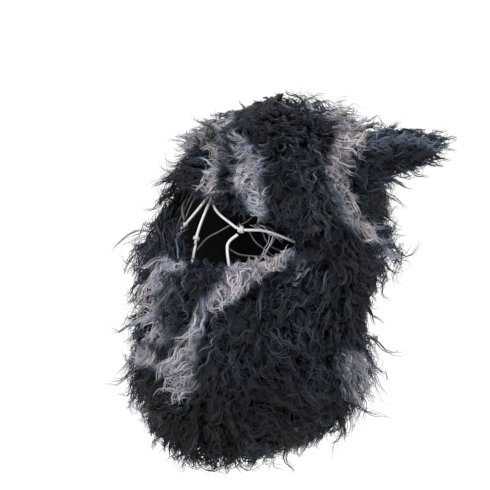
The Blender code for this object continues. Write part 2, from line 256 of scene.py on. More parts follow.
def mesh_object(name, points, faces, material, corner_map=None, map_name="OFBake"):
    """A mesh from points and arrays of faces, each array with one number of corners."""
    mesh = bpy.data.meshes.new(name)
    corners = np.concatenate([f.ravel() for f in faces]).astype(np.int32)
    counts = np.concatenate([np.full(len(f), f.shape[1]) for f in faces])
    mesh.vertices.add(len(points))
    mesh.vertices.foreach_set("co", np.ascontiguousarray(points, np.float32).ravel())
    mesh.loops.add(len(corners))
    mesh.loops.foreach_set("vertex_index", corners)
    mesh.polygons.add(len(counts))
    mesh.polygons.foreach_set("loop_start", np.concatenate(([0], np.cumsum(counts)[:-1])).astype(np.int32))
    mesh.update(calc_edges=True)
    if corner_map is not None:
        layer = mesh.uv_layers.new(name=map_name)
        layer.data.foreach_set("uv", np.ascontiguousarray(corner_map(corners), np.float32).ravel())
    mesh.shade_smooth()
    mesh.materials.append(material)
    obj = bpy.data.objects.new(name, mesh)
    bpy.context.scene.collection.objects.link(obj)
    return obj


def ride_as(obj, slot, *nodes):
    """The object rides on the hood and stands for the named solids, which it hides. Its slot is not used."""
    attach(obj, "root")
    if nodes:
        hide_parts(*nodes)
    return obj


def ringed_grid(columns, rows):
    """The numbers of a closed grid's points, those of the next column beside them, and the quads between."""
    number = np.arange(columns * rows).reshape(columns, rows)
    beside = np.roll(number, -1, 0)
    return number, beside, np.stack((number[:, :-1], number[:, 1:], beside[:, 1:], beside[:, :-1]), -1)


# A direction that no strand runs along, which settles how a straight tube is turned
SKEW = (0.31, 0.42, 0.85)


def tubes(paths, radii, sides, groove=1.0, twist=0.0, flat=1.0):
    """Closed tubes along paths, as (tubes, points, 3), with radii as (tubes, points).

    A tube is round, or flattened across the way it first bends, with a groove between each two ridges.
    """
    count, steps = paths.shape[:2]
    ahead = np.empty_like(paths)
    ahead[:, 1:-1] = paths[:, 2:] - paths[:, :-2]
    ahead[:, 0] = paths[:, 1] - paths[:, 0]
    ahead[:, -1] = paths[:, -1] - paths[:, -2]
    ahead = unit(ahead)
    bends = paths[:, steps // 2] - paths[:, 0]
    guess = np.cross(ahead[:, 0], bends) + 1e-6 * np.cross(ahead[:, 0], SKEW)
    rings = []
    depth = np.where(np.arange(sides) % 2, groove, 1.0)[:, None]
    for k in range(steps):
        turns = math.tau * np.arange(sides) / sides + twist * k
        side = unit(guess - ahead[:, k] * np.sum(guess * ahead[:, k], -1, keepdims=True))
        up = np.cross(ahead[:, k], side)
        spokes = side[:, None] * np.cos(turns)[:, None] + up[:, None] * flat * np.sin(turns)[:, None]
        rings.append(paths[:, k, None] + spokes * depth * radii[:, k, None, None])
        guess = side
    points = np.stack(rings, 1).reshape(-1, 3)
    number = np.arange(len(points)).reshape(count, steps, sides)
    beside = np.roll(number, -1, 2)
    walls = np.stack((number[:, :-1], beside[:, :-1], beside[:, 1:], number[:, 1:]), -1)
    caps = np.concatenate((number[:, 0, ::-1], number[:, -1]))
    return points, [walls.reshape(-1, 4), caps]


# Materials


def linear(code):
    """The linear colour of an sRGB hex code, such as 2b2f36."""
    channels = [int(code[i : i + 2], 16) / 255 for i in (0, 2, 4)]
    return tuple(c / 12.92 if c <= 0.04045 else ((c + 0.055) / 1.055) ** 2.4 for c in channels) + (1.0,)


def add(tree, kind, settings=None, **links):
    """Adds a node with its settings. A link joins an input to another node's output or to a plain value."""
    node = tree.nodes.new(kind)
    for key, value in (settings or {}).items():
        setattr(node, key, value)
    for name, value in links.items():
        socket = node.inputs[int(name[1:])] if name[0] == "_" else node.inputs[name.replace("_", " ")]
        if isinstance(value, bpy.types.NodeSocket):
            tree.links.new(value, socket)
        else:
            socket.default_value = value
    return node


def set_stops(ramp, stops, interpolation="LINEAR"):
    """Gives a colour ramp its stops, each a place and a colour."""
    elements = ramp.color_ramp.elements
    ramp.color_ramp.interpolation = interpolation
    while len(elements) < len(stops):
        elements.new(1.0)
    for element, (place, colour) in zip(elements, stops):
        element.position = place
        element.color = colour
    return ramp


def new_material(name, **shader):
    """A material with one shader that takes the given values."""
    material = bpy.data.materials.new(name)
    material.use_nodes = True
    tree = material.node_tree
    tree.nodes.clear()
    surface = add(tree, "ShaderNodeBsdfPrincipled", None, **shader)
    add(tree, "ShaderNodeOutputMaterial", None, Surface=surface.outputs[0])
    return material, tree, surface


# Tones of the dyed pile, from the darkest charcoal to fully bleached
TONES = (
    (0.0, "020203"),
    (0.2, "080b12"),
    (0.4, "181e29"),
    (0.55, "454c57"),
    (0.7, "7c7f89"),
    (0.85, "aaa8ae"),
    (1.0, "d2d0d4"),
)

# Casts that the dye has taken, as multipliers of the tone, one row of the pile's chart each
Cast = namedtuple("Cast", "name tint")
CASTS = (
    Cast("charcoal", (0.92, 1.0, 1.12)),
    Cast("plum", (1.06, 0.94, 1.14)),
    Cast("umber", (1.10, 1.0, 0.90)),
    Cast("moss", (0.92, 1.06, 0.98)),
    Cast("steel", (0.88, 0.99, 1.18)),
    Cast("rose", (1.04, 0.985, 1.0)),
    Cast("cream", (1.04, 1.0, 0.94)),
)
CAST_ROW = {cast.name: i for i, cast in enumerate(CASTS)}
TINT_HEADROOM = 1.3

# Painted shade along a fibre from root to tip: darkest at the root, deep in the pile where the locks shade
# it
FIBRE_PAINTED_SHADE = ((0.0, 0.5), (0.3, 0.85), (0.8, 1.0), (1.0, 0.9))

# The chance that a lock takes each cast where the dye allows it. Rose and cream are commoner in warm lumps
PLUM_CHANCE = 0.6
UMBER_CHANCE = 0.75
MOSS_CHANCE = 0.8
STEEL_CHANCE = 0.38
ROSE_CHANCE = 0.45
CREAM_CHANCE = 0.2
ROSE_WARMER = 0.3
CREAM_WARMER = 0.2

# Where the dye allows them: the height round which plum is commonest, the height where umber and moss come
# in towards the hem, the sizes of the lumps, and how bleached a tinged and a pale lock are
PLUM_HEIGHT = -118 * MM
PLUM_SIZE = 45 * MM
PLUM_GAIN = 1.1
EARTHY_HEIGHT = -215 * MM
EARTHY_FADE = 70 * MM
MOSS_SIZE = 40 * MM
MOSS_LEVEL = 0.7
WARM_SIZE = 50 * MM
TINGED = 0.06
PALE = 0.45


def pile_material():
    """Acrylic faux fur, spun, dyed charcoal, bleached in patches: soft glints, painted shade at the roots.

    The pile's chart holds its colour: the tone across, and up it a row for each cast with the way along.
    """
    material, tree, surface = new_material(
        "dyed_acrylic_pile", Roughness=0.42, IOR=1.49, Specular_IOR_Level=0.27
    )
    chart = add(tree, "ShaderNodeUVMap", {"uv_map": "OFBake"})
    split = add(tree, "ShaderNodeSeparateXYZ", None, Vector=chart.outputs[0])
    tone = set_stops(add(tree, "ShaderNodeValToRGB", None, Fac=split.outputs[0]),
                     [(place, linear(code)) for place, code in TONES])
    rows = len(CASTS)
    tint = set_stops(
        add(tree, "ShaderNodeValToRGB", None, Fac=split.outputs[1]),
        [(i / rows, tuple(c / TINT_HEADROOM for c in cast.tint) + (1.0,)) for i, cast in enumerate(CASTS)],
        "CONSTANT",
    )
    scaled = add(tree, "ShaderNodeMath", {"operation": "MULTIPLY"}, _0=split.outputs[1], _1=float(rows))
    along = add(tree, "ShaderNodeMath", {"operation": "FRACT"}, _0=scaled.outputs[0])
    # Painted shade along each fibre, darkest at its root
    shade = set_stops(add(tree, "ShaderNodeValToRGB", None, Fac=along.outputs[0]),
                      [(place, (light, light, light, 1.0)) for place, light in FIBRE_PAINTED_SHADE])
    colour = tone.outputs[0]
    for factor in (tint.outputs[0], (TINT_HEADROOM,) * 3 + (1.0,), shade.outputs[0]):
        blend = add(tree, "ShaderNodeMix", {"data_type": "RGBA", "blend_type": "MULTIPLY"},
                    Factor=1.0, _6=colour, _7=factor)
        colour = blend.outputs[2]
    tree.links.new(colour, surface.inputs["Base Color"])
    return material


# The knit's map counts wales across and stitches down. Stitches lean, and stand less high than wales
STITCH_LEAN = 0.9
STITCH_SHARE = 0.6


def knit_material():
    """Black polyester rib knit, machine knitted: matte, its wales' crests catching a little painted light.
    """
    material, tree, surface = new_material(
        "black_rib_knit", Roughness=0.95, IOR=1.5, Sheen_Weight=0.15, Sheen_Roughness=0.5
    )
    run = add(tree, "ShaderNodeUVMap", {"uv_map": "KnitRun"})
    split = add(tree, "ShaderNodeSeparateXYZ", None, Vector=run.outputs[0])
    wale = add(tree, "ShaderNodeMath", {"operation": "PINGPONG"}, _0=split.outputs[0], _1=0.5)
    slant = add(tree, "ShaderNodeMath", {"operation": "MULTIPLY_ADD"}, _0=wale.outputs[0], _1=STITCH_LEAN,
                _2=split.outputs[1])
    stitch = add(tree, "ShaderNodeMath", {"operation": "PINGPONG"}, _0=slant.outputs[0], _1=0.5)
    height = add(tree, "ShaderNodeMath", {"operation": "MULTIPLY_ADD"}, _0=stitch.outputs[0],
                 _1=STITCH_SHARE, _2=wale.outputs[0])
    # Painted highlight on the wales' crests and painted shade in the hollows between them
    colour = set_stops(add(tree, "ShaderNodeValToRGB", None, Fac=height.outputs[0]),
                       [(0.1, linear("050506")), (0.8, linear("17171a"))])
    bump = add(tree, "ShaderNodeBump", None, Strength=0.6, Distance=0.6 * MM, Height=height.outputs[0])
    tree.links.new(colour.outputs[0], surface.inputs["Base Color"])
    tree.links.new(bump.outputs[0], surface.inputs["Normal"])
    return material


# The braid's strands cross: they lean both ways by this many turns for each pitch along the cord
BRAID_LEAN = 3.0


def cord_material(name, light, dark, roughness):
    """Braided polyester cord, waxed: a soft bright line along it, broken by the fine slant of its braid."""
    material, tree, surface = new_material(
        name, Roughness=roughness, IOR=1.5, Coat_Weight=0.2, Coat_Roughness=0.25
    )
    run = add(tree, "ShaderNodeUVMap", {"uv_map": "CordRun"})
    split = add(tree, "ShaderNodeSeparateXYZ", None, Vector=run.outputs[0])
    slants = []
    for lean in (BRAID_LEAN, -BRAID_LEAN):
        slant = add(tree, "ShaderNodeMath", {"operation": "MULTIPLY_ADD"}, _0=split.outputs[0], _1=lean,
                    _2=split.outputs[1])
        slants.append(add(tree, "ShaderNodeMath", {"operation": "PINGPONG"}, _0=slant.outputs[0], _1=0.5))
    braid = add(tree, "ShaderNodeMath", {"operation": "MULTIPLY"}, _0=slants[0].outputs[0],
                _1=slants[1].outputs[0])
    # Painted shade in the braid's grooves, lighter on its strands
    colour = set_stops(add(tree, "ShaderNodeValToRGB", None, Fac=braid.outputs[0]),
                       [(0.0, linear(dark)), (0.12, linear(light))])
    bump = add(tree, "ShaderNodeBump", None, Strength=0.35, Distance=0.2 * MM, Height=braid.outputs[0])
    tree.links.new(colour.outputs[0], surface.inputs["Base Color"])
    tree.links.new(bump.outputs[0], surface.inputs["Normal"])
    return material


def plain_material(name, code, roughness):
    """A matt finish of one colour, for the floor and for threads too fine to show a weave."""
    material, _, _ = new_material(name, Base_Color=linear(code), Roughness=roughness)
    return material


# The camera


def add_camera():
    """A long lens at the photograph's angle, tipped so that the hood leans as it does there."""
    azimuth, elevation = CAMERA_AZIMUTH, CAMERA_ELEVATION
    back = Vector((math.sin(azimuth) * math.cos(elevation), -math.cos(azimuth) * math.cos(elevation),
                   math.sin(elevation)))
    level = Vector((math.cos(azimuth), math.sin(azimuth), 0))
    upright = back.cross(level)
    right = level * math.cos(CAMERA_ROLL) + upright * math.sin(CAMERA_ROLL)
    up = upright * math.cos(CAMERA_ROLL) - level * math.sin(CAMERA_ROLL)
    focal = PIXELS_PER_METRE * CAMERA_DISTANCE
    middle = FRAME_SIDE / 2
    across, below = (pixel - middle for pixel in HOOD_MIDDLE_PIXEL)
    aim = (back + right * across / focal - up * below / focal).normalized()
    right = up.cross(aim).normalized()
    up = aim.cross(right)
    data = bpy.data.cameras.new("camera")
    data.sensor_width = SENSOR
    data.lens = focal * SENSOR / FRAME_SIDE
    data.clip_start, data.clip_end = 0.05, 60
    camera = bpy.data.objects.new("camera", data)
    camera.matrix_world = Matrix((right, up, aim)).transposed().to_4x4()
    camera.location = HOOD_MIDDLE + back * CAMERA_DISTANCE
    bpy.context.scene.collection.objects.link(camera)
    bpy.context.scene.camera = camera
    return right, up, aim


# The cord web, in three layers behind the inner face

# Radii of the thick and the thin cords, the depths of the layers, and the share of a strand that rises to
# the cloth where it is sewn
MAIN = 1.25 * MM
THIN = 0.75 * MM
LAYER_DEPTH = {"front": 3.4 * MM, "middle": 6.2 * MM, "rear": 8.7 * MM}
CORD_POINTS = 40
CORD_SIDES = 12
BRAID_PITCH = 1.6 * MM
SEWN_SHARE = 0.14

# A strand's path is a few (turn, height) places: the turn in degrees round from the front, the height in
# millimetres. Tied says whether its start and its end are sewn to the cloth
Strand = namedtuple("Strand", "name radius layer tied path")
BOTH, LAST, NONE = (True, True), (False, True), (False, False)
STRANDS = (
    Strand("brow_to_corner", MAIN, "front", BOTH,
           ((-5, -68), (1, -84), (16, -92), (25, -95), (42, -92), (66, -100))),
    Strand("knot_to_cheek", MAIN, "front", LAST, ((24, -100), (20.5, -108), (21.5, -116), (30, -137))),
    Strand("brow_to_far_cheek", MAIN, "front", BOTH,
           ((-7, -68), (-10, -88), (-16, -108), (-23, -122), (-28, -138))),
    Strand("brow_to_nose", MAIN, "front", BOTH, ((-5, -68), (-3.6, -90), (-2, -110), (0, -122), (3, -145))),
    Strand("far_corner", MAIN, "front", LAST, ((-20, -105), (-30, -101), (-46, -97), (-66, -97))),
    Strand("brow_line", THIN, "front", BOTH, ((21, -69), (27, -80), (33, -79.5), (43, -82.5), (54, -78))),
    Strand("brow_stay", THIN, "middle", LAST, ((20.5, -93.2), (27, -85), (31, -70))),
    Strand("curved_fall", THIN, "middle", LAST,
           ((32, -94), (36, -88), (44, -89), (48, -95), (46, -108), (40, -130))),
    Strand("arch", THIN, "middle", NONE, ((0.3, -124.5), (4, -111), (10, -102), (17, -92))),
    Strand("far_stay", THIN, "middle", BOTH, ((-28, -70), (-26, -95), (-25, -106), (-36, -134))),
    Strand("far_fall", THIN, "middle", BOTH, ((-40, -72), (-44, -98), (-41, -130))),
    Strand("low_stay", THIN, "rear", LAST, ((30, -94.6), (37, -103), (44, -108), (54, -116))),
    Strand("corner_stay", THIN, "rear", LAST, ((39, -92.4), (44, -101), (50, -106), (60, -110))),
    Strand("cheek_line", THIN, "rear", LAST, ((21.2, -114), (30, -117), (43, -116), (57, -117))),
)
# These strands take the white cord's finish. The others, deeper in the hood, take a grey copy of it as
# painted shade
BRIGHT_CORDS = ("brow_to_corner", "knot_to_cheek", "brow_to_far_cheek", "brow_to_nose", "brow_line")

# Knots: the strand that each is tied round, its place as a turn in degrees, and the thickness of its thread.
# Their pitch is in thicknesses, and the strand's direction is taken over a step to each side
Knot = namedtuple("Knot", "name strand turn thickness")
KNOTS = (
    Knot("cheek_knot", "brow_to_corner", 25, 1.6 * MM),
    Knot("far_knot", "brow_to_far_cheek", -16, 0.6 * MM),
    Knot("nose_knot", "brow_to_nose", -1.3, 1.1 * MM),
)
KNOT_TURNS = 2.6
KNOT_POINTS = 44
KNOT_PITCH = 1.05
KNOT_BELLY = 0.5 * MM
KNOT_SKEW = (0.2, 0.3, 0.9)
KNOT_STEP = 0.01
PLACE_TRIES = 400


def web_points(path, share, depth):
    """Points of a path of (turn, height) places, at a depth behind the hood's inner face."""
    places = curve_through(path, share)
    return hood_point(np.radians(places[..., 0]), down_at_height(places[..., 1] * MM), -depth)


def strand_line(strand):
    """Points along a strand of the web, rising to the cloth where it is sewn to it."""
    share = np.linspace(0, 1, CORD_POINTS)
    sewn = np.zeros(CORD_POINTS)
    for end, tied in ((share, strand.tied[0]), (1 - share, strand.tied[1])):
        if tied:
            sewn = np.maximum(sewn, 1 - smoothstep(end / SEWN_SHARE))
    depth = mix(LAYER_DEPTH[strand.layer], strand.radius + GAP, sewn)
    return web_points(strand.path, share, depth)


def cord_object(name, line, radius, material):
    """A round cord along a line, with a map of turns round it and braid pitches along it."""
    line = np.asarray(line)
    points, faces = tubes(line[None], np.full((1, len(line)), radius), CORD_SIDES)
    run = np.concatenate(([0], np.cumsum(np.linalg.norm(np.diff(line, axis=0), axis=1)))) / BRAID_PITCH

    def around_and_along(corners):
        return np.stack((corners % CORD_SIDES / CORD_SIDES, run[corners // CORD_SIDES]), -1)

    return mesh_object(name, points, faces, material, around_and_along, "CordRun")


def knot_line(strand, turn, thickness):
    """A wrap of a few turns round a strand, drawn tight, with both its ends tucked along the strand."""
    places = curve_through(strand.path, np.linspace(0, 1, PLACE_TRIES))
    at = np.argmin(np.abs(places[:, 0] - turn)) / (PLACE_TRIES - 1)
    ends = web_points(strand.path, np.array((at - KNOT_STEP, at + KNOT_STEP)), LAYER_DEPTH[strand.layer])
    middle, ahead = ends.mean(0), unit(ends[1] - ends[0])
    side = unit(np.cross(ahead, KNOT_SKEW))
    up = np.cross(ahead, side)
    t = np.linspace(0, 1, KNOT_POINTS)
    spin = math.tau * KNOT_TURNS * t
    reach = strand.radius + GAP + thickness / 2 + KNOT_BELLY * np.sin(math.pi * t)
    travel = (t - 0.5) * KNOT_PITCH * thickness * KNOT_TURNS
    spokes = side * np.cos(spin)[:, None] + up * np.sin(spin)[:, None]
    return middle + spokes * reach[:, None] + ahead * travel[:, None]


def add_web(bright, painted_shade_cord):
    for strand in STRANDS:
        material = bright if strand.name in BRIGHT_CORDS else painted_shade_cord
        cord = cord_object("web_" + strand.name, strand_line(strand), strand.radius, material)
        ride_as(cord, "cord", "cord_" + strand.name)
    for knot in KNOTS:
        strand = next(s for s in STRANDS if s.name == knot.strand)
        line = knot_line(strand, knot.turn, knot.thickness)
        wrap = cord_object("wrap_" + knot.name, line, knot.thickness / 2, bright)
        ride_as(wrap, "cord", knot.name)


# Frayed thread ends round the web's near corner, each from a place to a place. Their scatter is in degrees
# and millimetres, and their depths are in millimetres behind the hood's inner face
Fray = namedtuple("Fray", "count start end")
FRAYS = (
    Fray(5, (34, -88), (53, -96)),
    Fray(3, (46, -97), (43, -118)),
    Fray(3, (30, -78), (38, -84)),
    Fray(2, (27, -96), (20, -92)),
)
FRAY_RADIUS = 0.2 * MM
FRAY_TAPER = 0.6
FRAY_POINTS = 14
FRAY_SIDES = 5
FRAY_SCATTER = (1.6, 2.2)
FRAY_DEPTHS = (2.0, 5.5)
FRAY_SWAY = 1.0 * MM


def add_frayed_threads(material):
    """Loose ends of the web's thread: fine, bright and kinked."""
    rng = np.random.default_rng(31)
    share = np.linspace(0, 1, FRAY_POINTS)
    lines = []
    for fray in FRAYS:
        for _ in range(fray.count):
            ends = np.array((fray.start, fray.end)) + rng.normal(size=(2, 2)) * FRAY_SCATTER
            line = web_points(ends, share, rng.uniform(*FRAY_DEPTHS) * MM)
            sway = rng.normal(size=(5, 3)) * FRAY_SWAY
            lines.append(line + curve_through(sway, share))
    paths = np.array(lines)
    radii = np.broadcast_to(FRAY_RADIUS * (1 - FRAY_TAPER * share**2), paths.shape[:2])
    points, faces = tubes(paths, radii, FRAY_SIDES)
    return ride_as(mesh_object("frayed_threads", points, faces, material), "cord")


# The lining and the backing of the pile

# Grids of the cloth: columns round the hood, and rows above and below the slot
LINING_GRID = (96, 16, 28)
BACKING_GRID = (120, 25, 42)
SEAT_GRID = (60, 10, 16)

# The knit: its wales, and the radius and the length of cloth that they are laid out on
WALE = 2.0 * MM
LINING_RADIUS = 80 * MM
LINING_LENGTH = 420 * MM

# Tufts of the underfur, and its painted shade, for it lies under the locks: the way along a fibre whose
# painted shade it takes, its share of the charcoal's tone, and how much darker it is painted where it is
# bleached
TUFT_SIZE = 9 * MM
TUFT_DEPTH = 3 * MM
UNDERFUR_SHADE_WAY = 0.3
UNDERFUR_SHADED_SHARE = 0.5
UNDERFUR_PAINTED_SHADE = 0.08


def hood_grid(columns, above, below):
    """Angles and places down the hood of a grid that meets the slot's lips, and which cells are cloth."""
    angle = math.tau * np.arange(columns) / columns
    turned = np.abs(folded(angle))
    upper, lower = (down_at_height(h) for h in slot_heights(np.minimum(turned, SLOT_HALF_ANGLE)))
    away = smoothstep((turned - SLOT_HALF_ANGLE) / SLOT_FADE)
    upper, lower = mix(upper, BESIDE_SLOT[0], away), mix(lower, BESIDE_SLOT[1], away)
    top = mix(CROWN_TOP, upper[:, None], np.linspace(0, 1, above + 1))
    bottom = mix(lower[:, None], 1, np.linspace(0, 1, below + 1))
    down = np.concatenate((top, bottom), 1)
    cloth = np.ones((columns, down.shape[1] - 1), bool)
    middles = np.abs(folded(angle + math.pi / columns))
    cloth[middles < SLOT_HALF_ANGLE, above] = False
    return np.broadcast_to(angle[:, None], down.shape), down, cloth


def shell(angle, down, cloth, inner_offset, outer_offset):
    """Points and faces of a closed shell between two offsets from the hood's inner face."""
    number, beside, quads = ringed_grid(*down.shape)
    quads = quads[cloth]
    apex = number.size
    fan = np.stack((np.full(len(number), apex), number[:, 0], beside[:, 0]), -1)
    layers = []
    for offset in (outer_offset, inner_offset):
        offset = np.broadcast_to(offset, down.shape)
        layers += [hood_point(angle, down, offset).reshape(-1, 3), [(0, 0, offset[:, 0].mean())]]
    count = apex + 1
    edges = np.stack((quads, np.roll(quads, -1, 1)), -1).reshape(-1, 2)
    fan_edges = np.stack((fan, np.roll(fan, -1, 1)), -1).reshape(-1, 2)
    code = edges @ (count, 1)
    open_edges = edges[~np.isin(code, np.concatenate((edges, fan_edges))[:, ::-1] @ (count, 1))]
    a, b = open_edges.T
    rims = np.stack((b, a, a + count, b + count), -1)
    faces = [quads, fan, quads[:, ::-1] + count, fan[:, ::-1] + count, rims]
    return np.concatenate(layers), faces


def add_lining(material):
    """The knitted cloth, with a map of wales round it and stitches down it."""
    angle, down, cloth = hood_grid(*LINING_GRID)
    points, faces = shell(angle, down, cloth, 0.0, WALL)
    round_place = np.append(angle * LINING_RADIUS / WALE, 0)
    down_place = np.append(down * LINING_LENGTH / WALE, 0)
    places = np.tile(np.stack((round_place, down_place), -1), (2, 1))
    obj = mesh_object("knit_lining", points, faces, material, lambda corners: places[corners], "KnitRun")
    return ride_as(obj, "knit", "hood_body")


# The dye: strokes bleached out of the charcoal, with (turn, height) paths on the pile's outer face and
# widths in millimetres

PILE_FACE = 18 * MM
EAR_PILE_FACE = 14 * MM
STROKE_POINTS = 24
Stroke = namedtuple("Stroke", "name width light path")
STROKES = (
    Stroke("forehead_top", 10, 0.85, ((-13, -32), (-1, -34), (11, -40), (18, -48))),
    Stroke("forehead_middle", 5, 0.6, ((-24, -38), (-8, -45), (6, -54))),
    Stroke("brow_far", 9, 0.95, ((-12, -50), (-6, -63), (0, -76))),
    Stroke("brow_near", 12, 1.0, ((10, -50), (17, -60), (24, -67), (30, -75))),
    Stroke("over_ear", 11.5, 1.0, ((114, 8), (105, -4), (95, -16), (84, -28), (78, -41))),
    Stroke("below_ear", 11, 1.0, ((78, -41), (79, -54), (85, -65), (92, -76), (101, -86))),
    Stroke("behind_ear", 10, 0.95, ((118, -98), (125, -115))),
    Stroke("cheek_band", 13, 1.0, ((48, -108), (43, -116), (38, -127), (32, -140), (28, -154))),
    Stroke("cheek_to_jaw", 9, 0.9, ((28, -154), (22, -173), (16, -192), (10, -210))),
    Stroke("jaw", 16, 1.0, ((9, -212), (6, -232), (9, -248))),
    Stroke("under_slot", 9, 0.95, ((-10, -143), (1, -141))),
    Stroke("far_cheek", 18, 1.0, ((-11, -158), (-15, -180), (-11, -203))),
    Stroke("far_jaw", 12, 0.95, ((-28, -234), (-14, -232), (-8, -235))),
    Stroke("hem_spot", 6, 0.7, ((-32, -288), (-27, -293))),
    Stroke("nape", 17, 0.95, ((108, -216), (114, -231), (118, -246))),
    Stroke("stray_lock", 3.5, 0.75, ((61, -128), (66, -116))),
    Stroke("back_band", 14, 0.85, ((168, -50), (178, -82), (166, -112), (174, -146))),
    Stroke("back_low", 14, 0.9, ((-162, -196), (-150, -228), (-158, -252))),
    Stroke("right_temple", 12, 0.85, ((-82, -40), (-90, -72), (-82, -104))),
    Stroke("right_cheek", 14, 0.9, ((-56, -140), (-66, -172), (-58, -208))),
    Stroke("right_low", 13, 0.85, ((-102, -226), (-114, -256))),
    Stroke("left_back", 12, 0.8, ((138, -158), (147, -186))),
)

# The same on the ears, along (t, share) places: t runs from root to tip, the share from the middle upwards
EarStroke = namedtuple("EarStroke", "ear width light path")
EAR_STROKES = (
    EarStroke("ear_left", 8, 0.45, ((0.45, 0.6), (0.7, 0.35), (0.97, 0.2))),
    EarStroke("ear_right", 17, 0.95, ((0.5, 0.1), (0.75, 0.0), (0.98, 0.0))),
)


def ear_axes(ear, t):
    """The middle of an ear's cross-section at t, its direction to the tip, its upright and its back."""
    t = np.asarray(t, float)
    sweep, rise = math.radians(ear.sweep), math.radians(ear.rise)
    tilt = np.radians(mix(ear.root_tilt, ear.tip_tilt, smoothstep(t)))
    along = np.array((math.cos(rise) * math.cos(sweep), math.cos(rise) * math.sin(sweep), math.sin(rise)))
    upright = np.stack((-np.sin(tilt), np.zeros_like(tilt), np.cos(tilt)), -1)
    behind = unit(np.cross(upright, along))
    middle = EAR_ROOT + along * mix(-ear.sink, ear.length, t)[..., None]
    mirror = np.array((ear.side, 1, 1))
    return middle * mirror, np.broadcast_to(along * mirror, middle.shape), upright * mirror, behind * mirror


def ear_halves(t):
    """Half an ear's height and half its thickness at t."""
    return mix(*EAR_HALF_HEIGHT, t**EAR_TAPER), mix(*EAR_HALF_THICKNESS, t)


def ear_point(ear, t, turn):
    """Points of an ear's face at t along it and a turn round it, a quarter turn being its front."""
    t, turn = np.broadcast_arrays(np.asarray(t, float), np.asarray(turn, float))
    middle, _, upright, behind = ear_axes(ear, t)
    half_height, half_thickness = ear_halves(t)
    cup = EAR_CUP * np.cos(turn) ** 2 * np.sin(math.pi * t)
    return (
        middle
        + upright * (half_height * np.cos(turn))[..., None]
        + behind * (half_thickness * np.sin(turn) + cup)[..., None]
    )


# How much of an ear's cross-section counts as its inside, where no lock of the hood is rooted
EAR_CORE = 0.6


def inside_ear(ear, points):
    """Which points lie within an ear's form."""
    points = points * (ear.side, 1, 1)
    right_handed = ear._replace(side=1)
    _, along, _, _ = ear_axes(right_handed, 0.0)
    reach = ((points - EAR_ROOT) @ along + ear.sink) / (ear.length + ear.sink)
    t = np.clip(reach, 0, 1)
    middle, _, upright, behind = ear_axes(right_handed, t)
    apart = points - middle
    half_height, half_thickness = ear_halves(t)
    high = np.sum(apart * upright, -1) / half_height
    deep = np.sum(apart * behind, -1) / half_thickness
    return (high**2 + deep**2 < EAR_CORE) & (reach > 0) & (reach < 1)


def stroke_lines():
    """Each bleached stroke as close points, the cloth's outward directions, its width and lightness."""
    share = np.linspace(0, 1, STROKE_POINTS)
    lines = []
    for stroke in STROKES:
        turn, height = curve_through(stroke.path, share).T
        down = down_at_height(height * MM)
        outwards, _ = directions(np.radians(turn), down)
        spots = hood_point(np.radians(turn), down, PILE_FACE)
        lines.append((spots, outwards, stroke.width * MM, stroke.light))
    for stroke in EAR_STROKES:
        ear = next(e for e in EARS if e.name == stroke.ear)
        t, rise = curve_through(stroke.path, share).T
        middle, _, upright, behind = ear_axes(ear, t)
        half_height, _ = ear_halves(t)
        spots = middle + upright * (half_height * rise)[:, None] - behind * EAR_PILE_FACE
        lines.append((spots, -behind, stroke.width * MM, stroke.light))
    return lines


STROKE_LINES = stroke_lines()

# How ragged a stroke's edge is, in lumps of what size, how far below and above its line it reaches, and the
# shares of its width where it is whole and where it fades
DYE_RAGGEDNESS = 4.5 * MM
DYE_LUMPS = 24 * MM
DYE_DEPTH = 18 * MM
DYE_PROUD = 16 * MM
DYE_WHOLE = 0.6
DYE_FADE = 0.7


def bleached(points):
    """How bleached the pile is at points: 0 where it is charcoal and about 1 amid a light patch."""
    ragged = np.stack([wander(points, DYE_LUMPS, seed) for seed in (3, 4, 5)], -1) * DYE_RAGGEDNESS
    spots = points + ragged
    light = np.zeros(len(points))
    for line, outwards, width, strength in STROKE_LINES:
        reach = np.ptp(line, 0).max() + 4 * width
        close = np.nonzero(np.linalg.norm(spots - line.mean(0), axis=1) < reach)[0]
        near = np.full(len(close), np.inf)
        for spot, out in zip(line, outwards):
            apart = spots[close] - spot
            through = np.clip(apart @ out, -DYE_DEPTH, DYE_PROUD)
            near = np.minimum(near, np.linalg.norm(apart - through[:, None] * out, axis=1))
        faded = strength * (1 - smoothstep((near / width - DYE_WHOLE) / DYE_FADE))
        light[close] = np.maximum(light[close], faded)
    return light


# Painted shade makes the fur beside the slot's far corner nearly black, as in a shaded recess: its place as
# (turn, height), and how far it reaches
SHADED_CORNER = (-60, -104)
SHADED_CORNER_REACH = 24 * MM

# Tones of the charcoal and of the bleached pile, and what is added high up, low down and as painted shade at
# the far corner
CHARCOAL_TONE = 0.335
PALE_TONE = 0.84
HIGH_TONE = 0.03
LOW_TONE = -0.06
CORNER_PAINTED_SHADE = -0.22

# The heights where the high and the low tones come in, the height that they take, and the clouds in the dye
HIGH_FROM = -80 * MM
LOW_FROM = -225 * MM
TONE_FADE = 60 * MM
WIDE_CLOUD, WIDE_CLOUD_SIZE = 0.05, 60 * MM
SMALL_CLOUD, SMALL_CLOUD_SIZE = 0.03, 22 * MM
PALE_CLOUD, PALE_CLOUD_SIZE = 0.04, 18 * MM


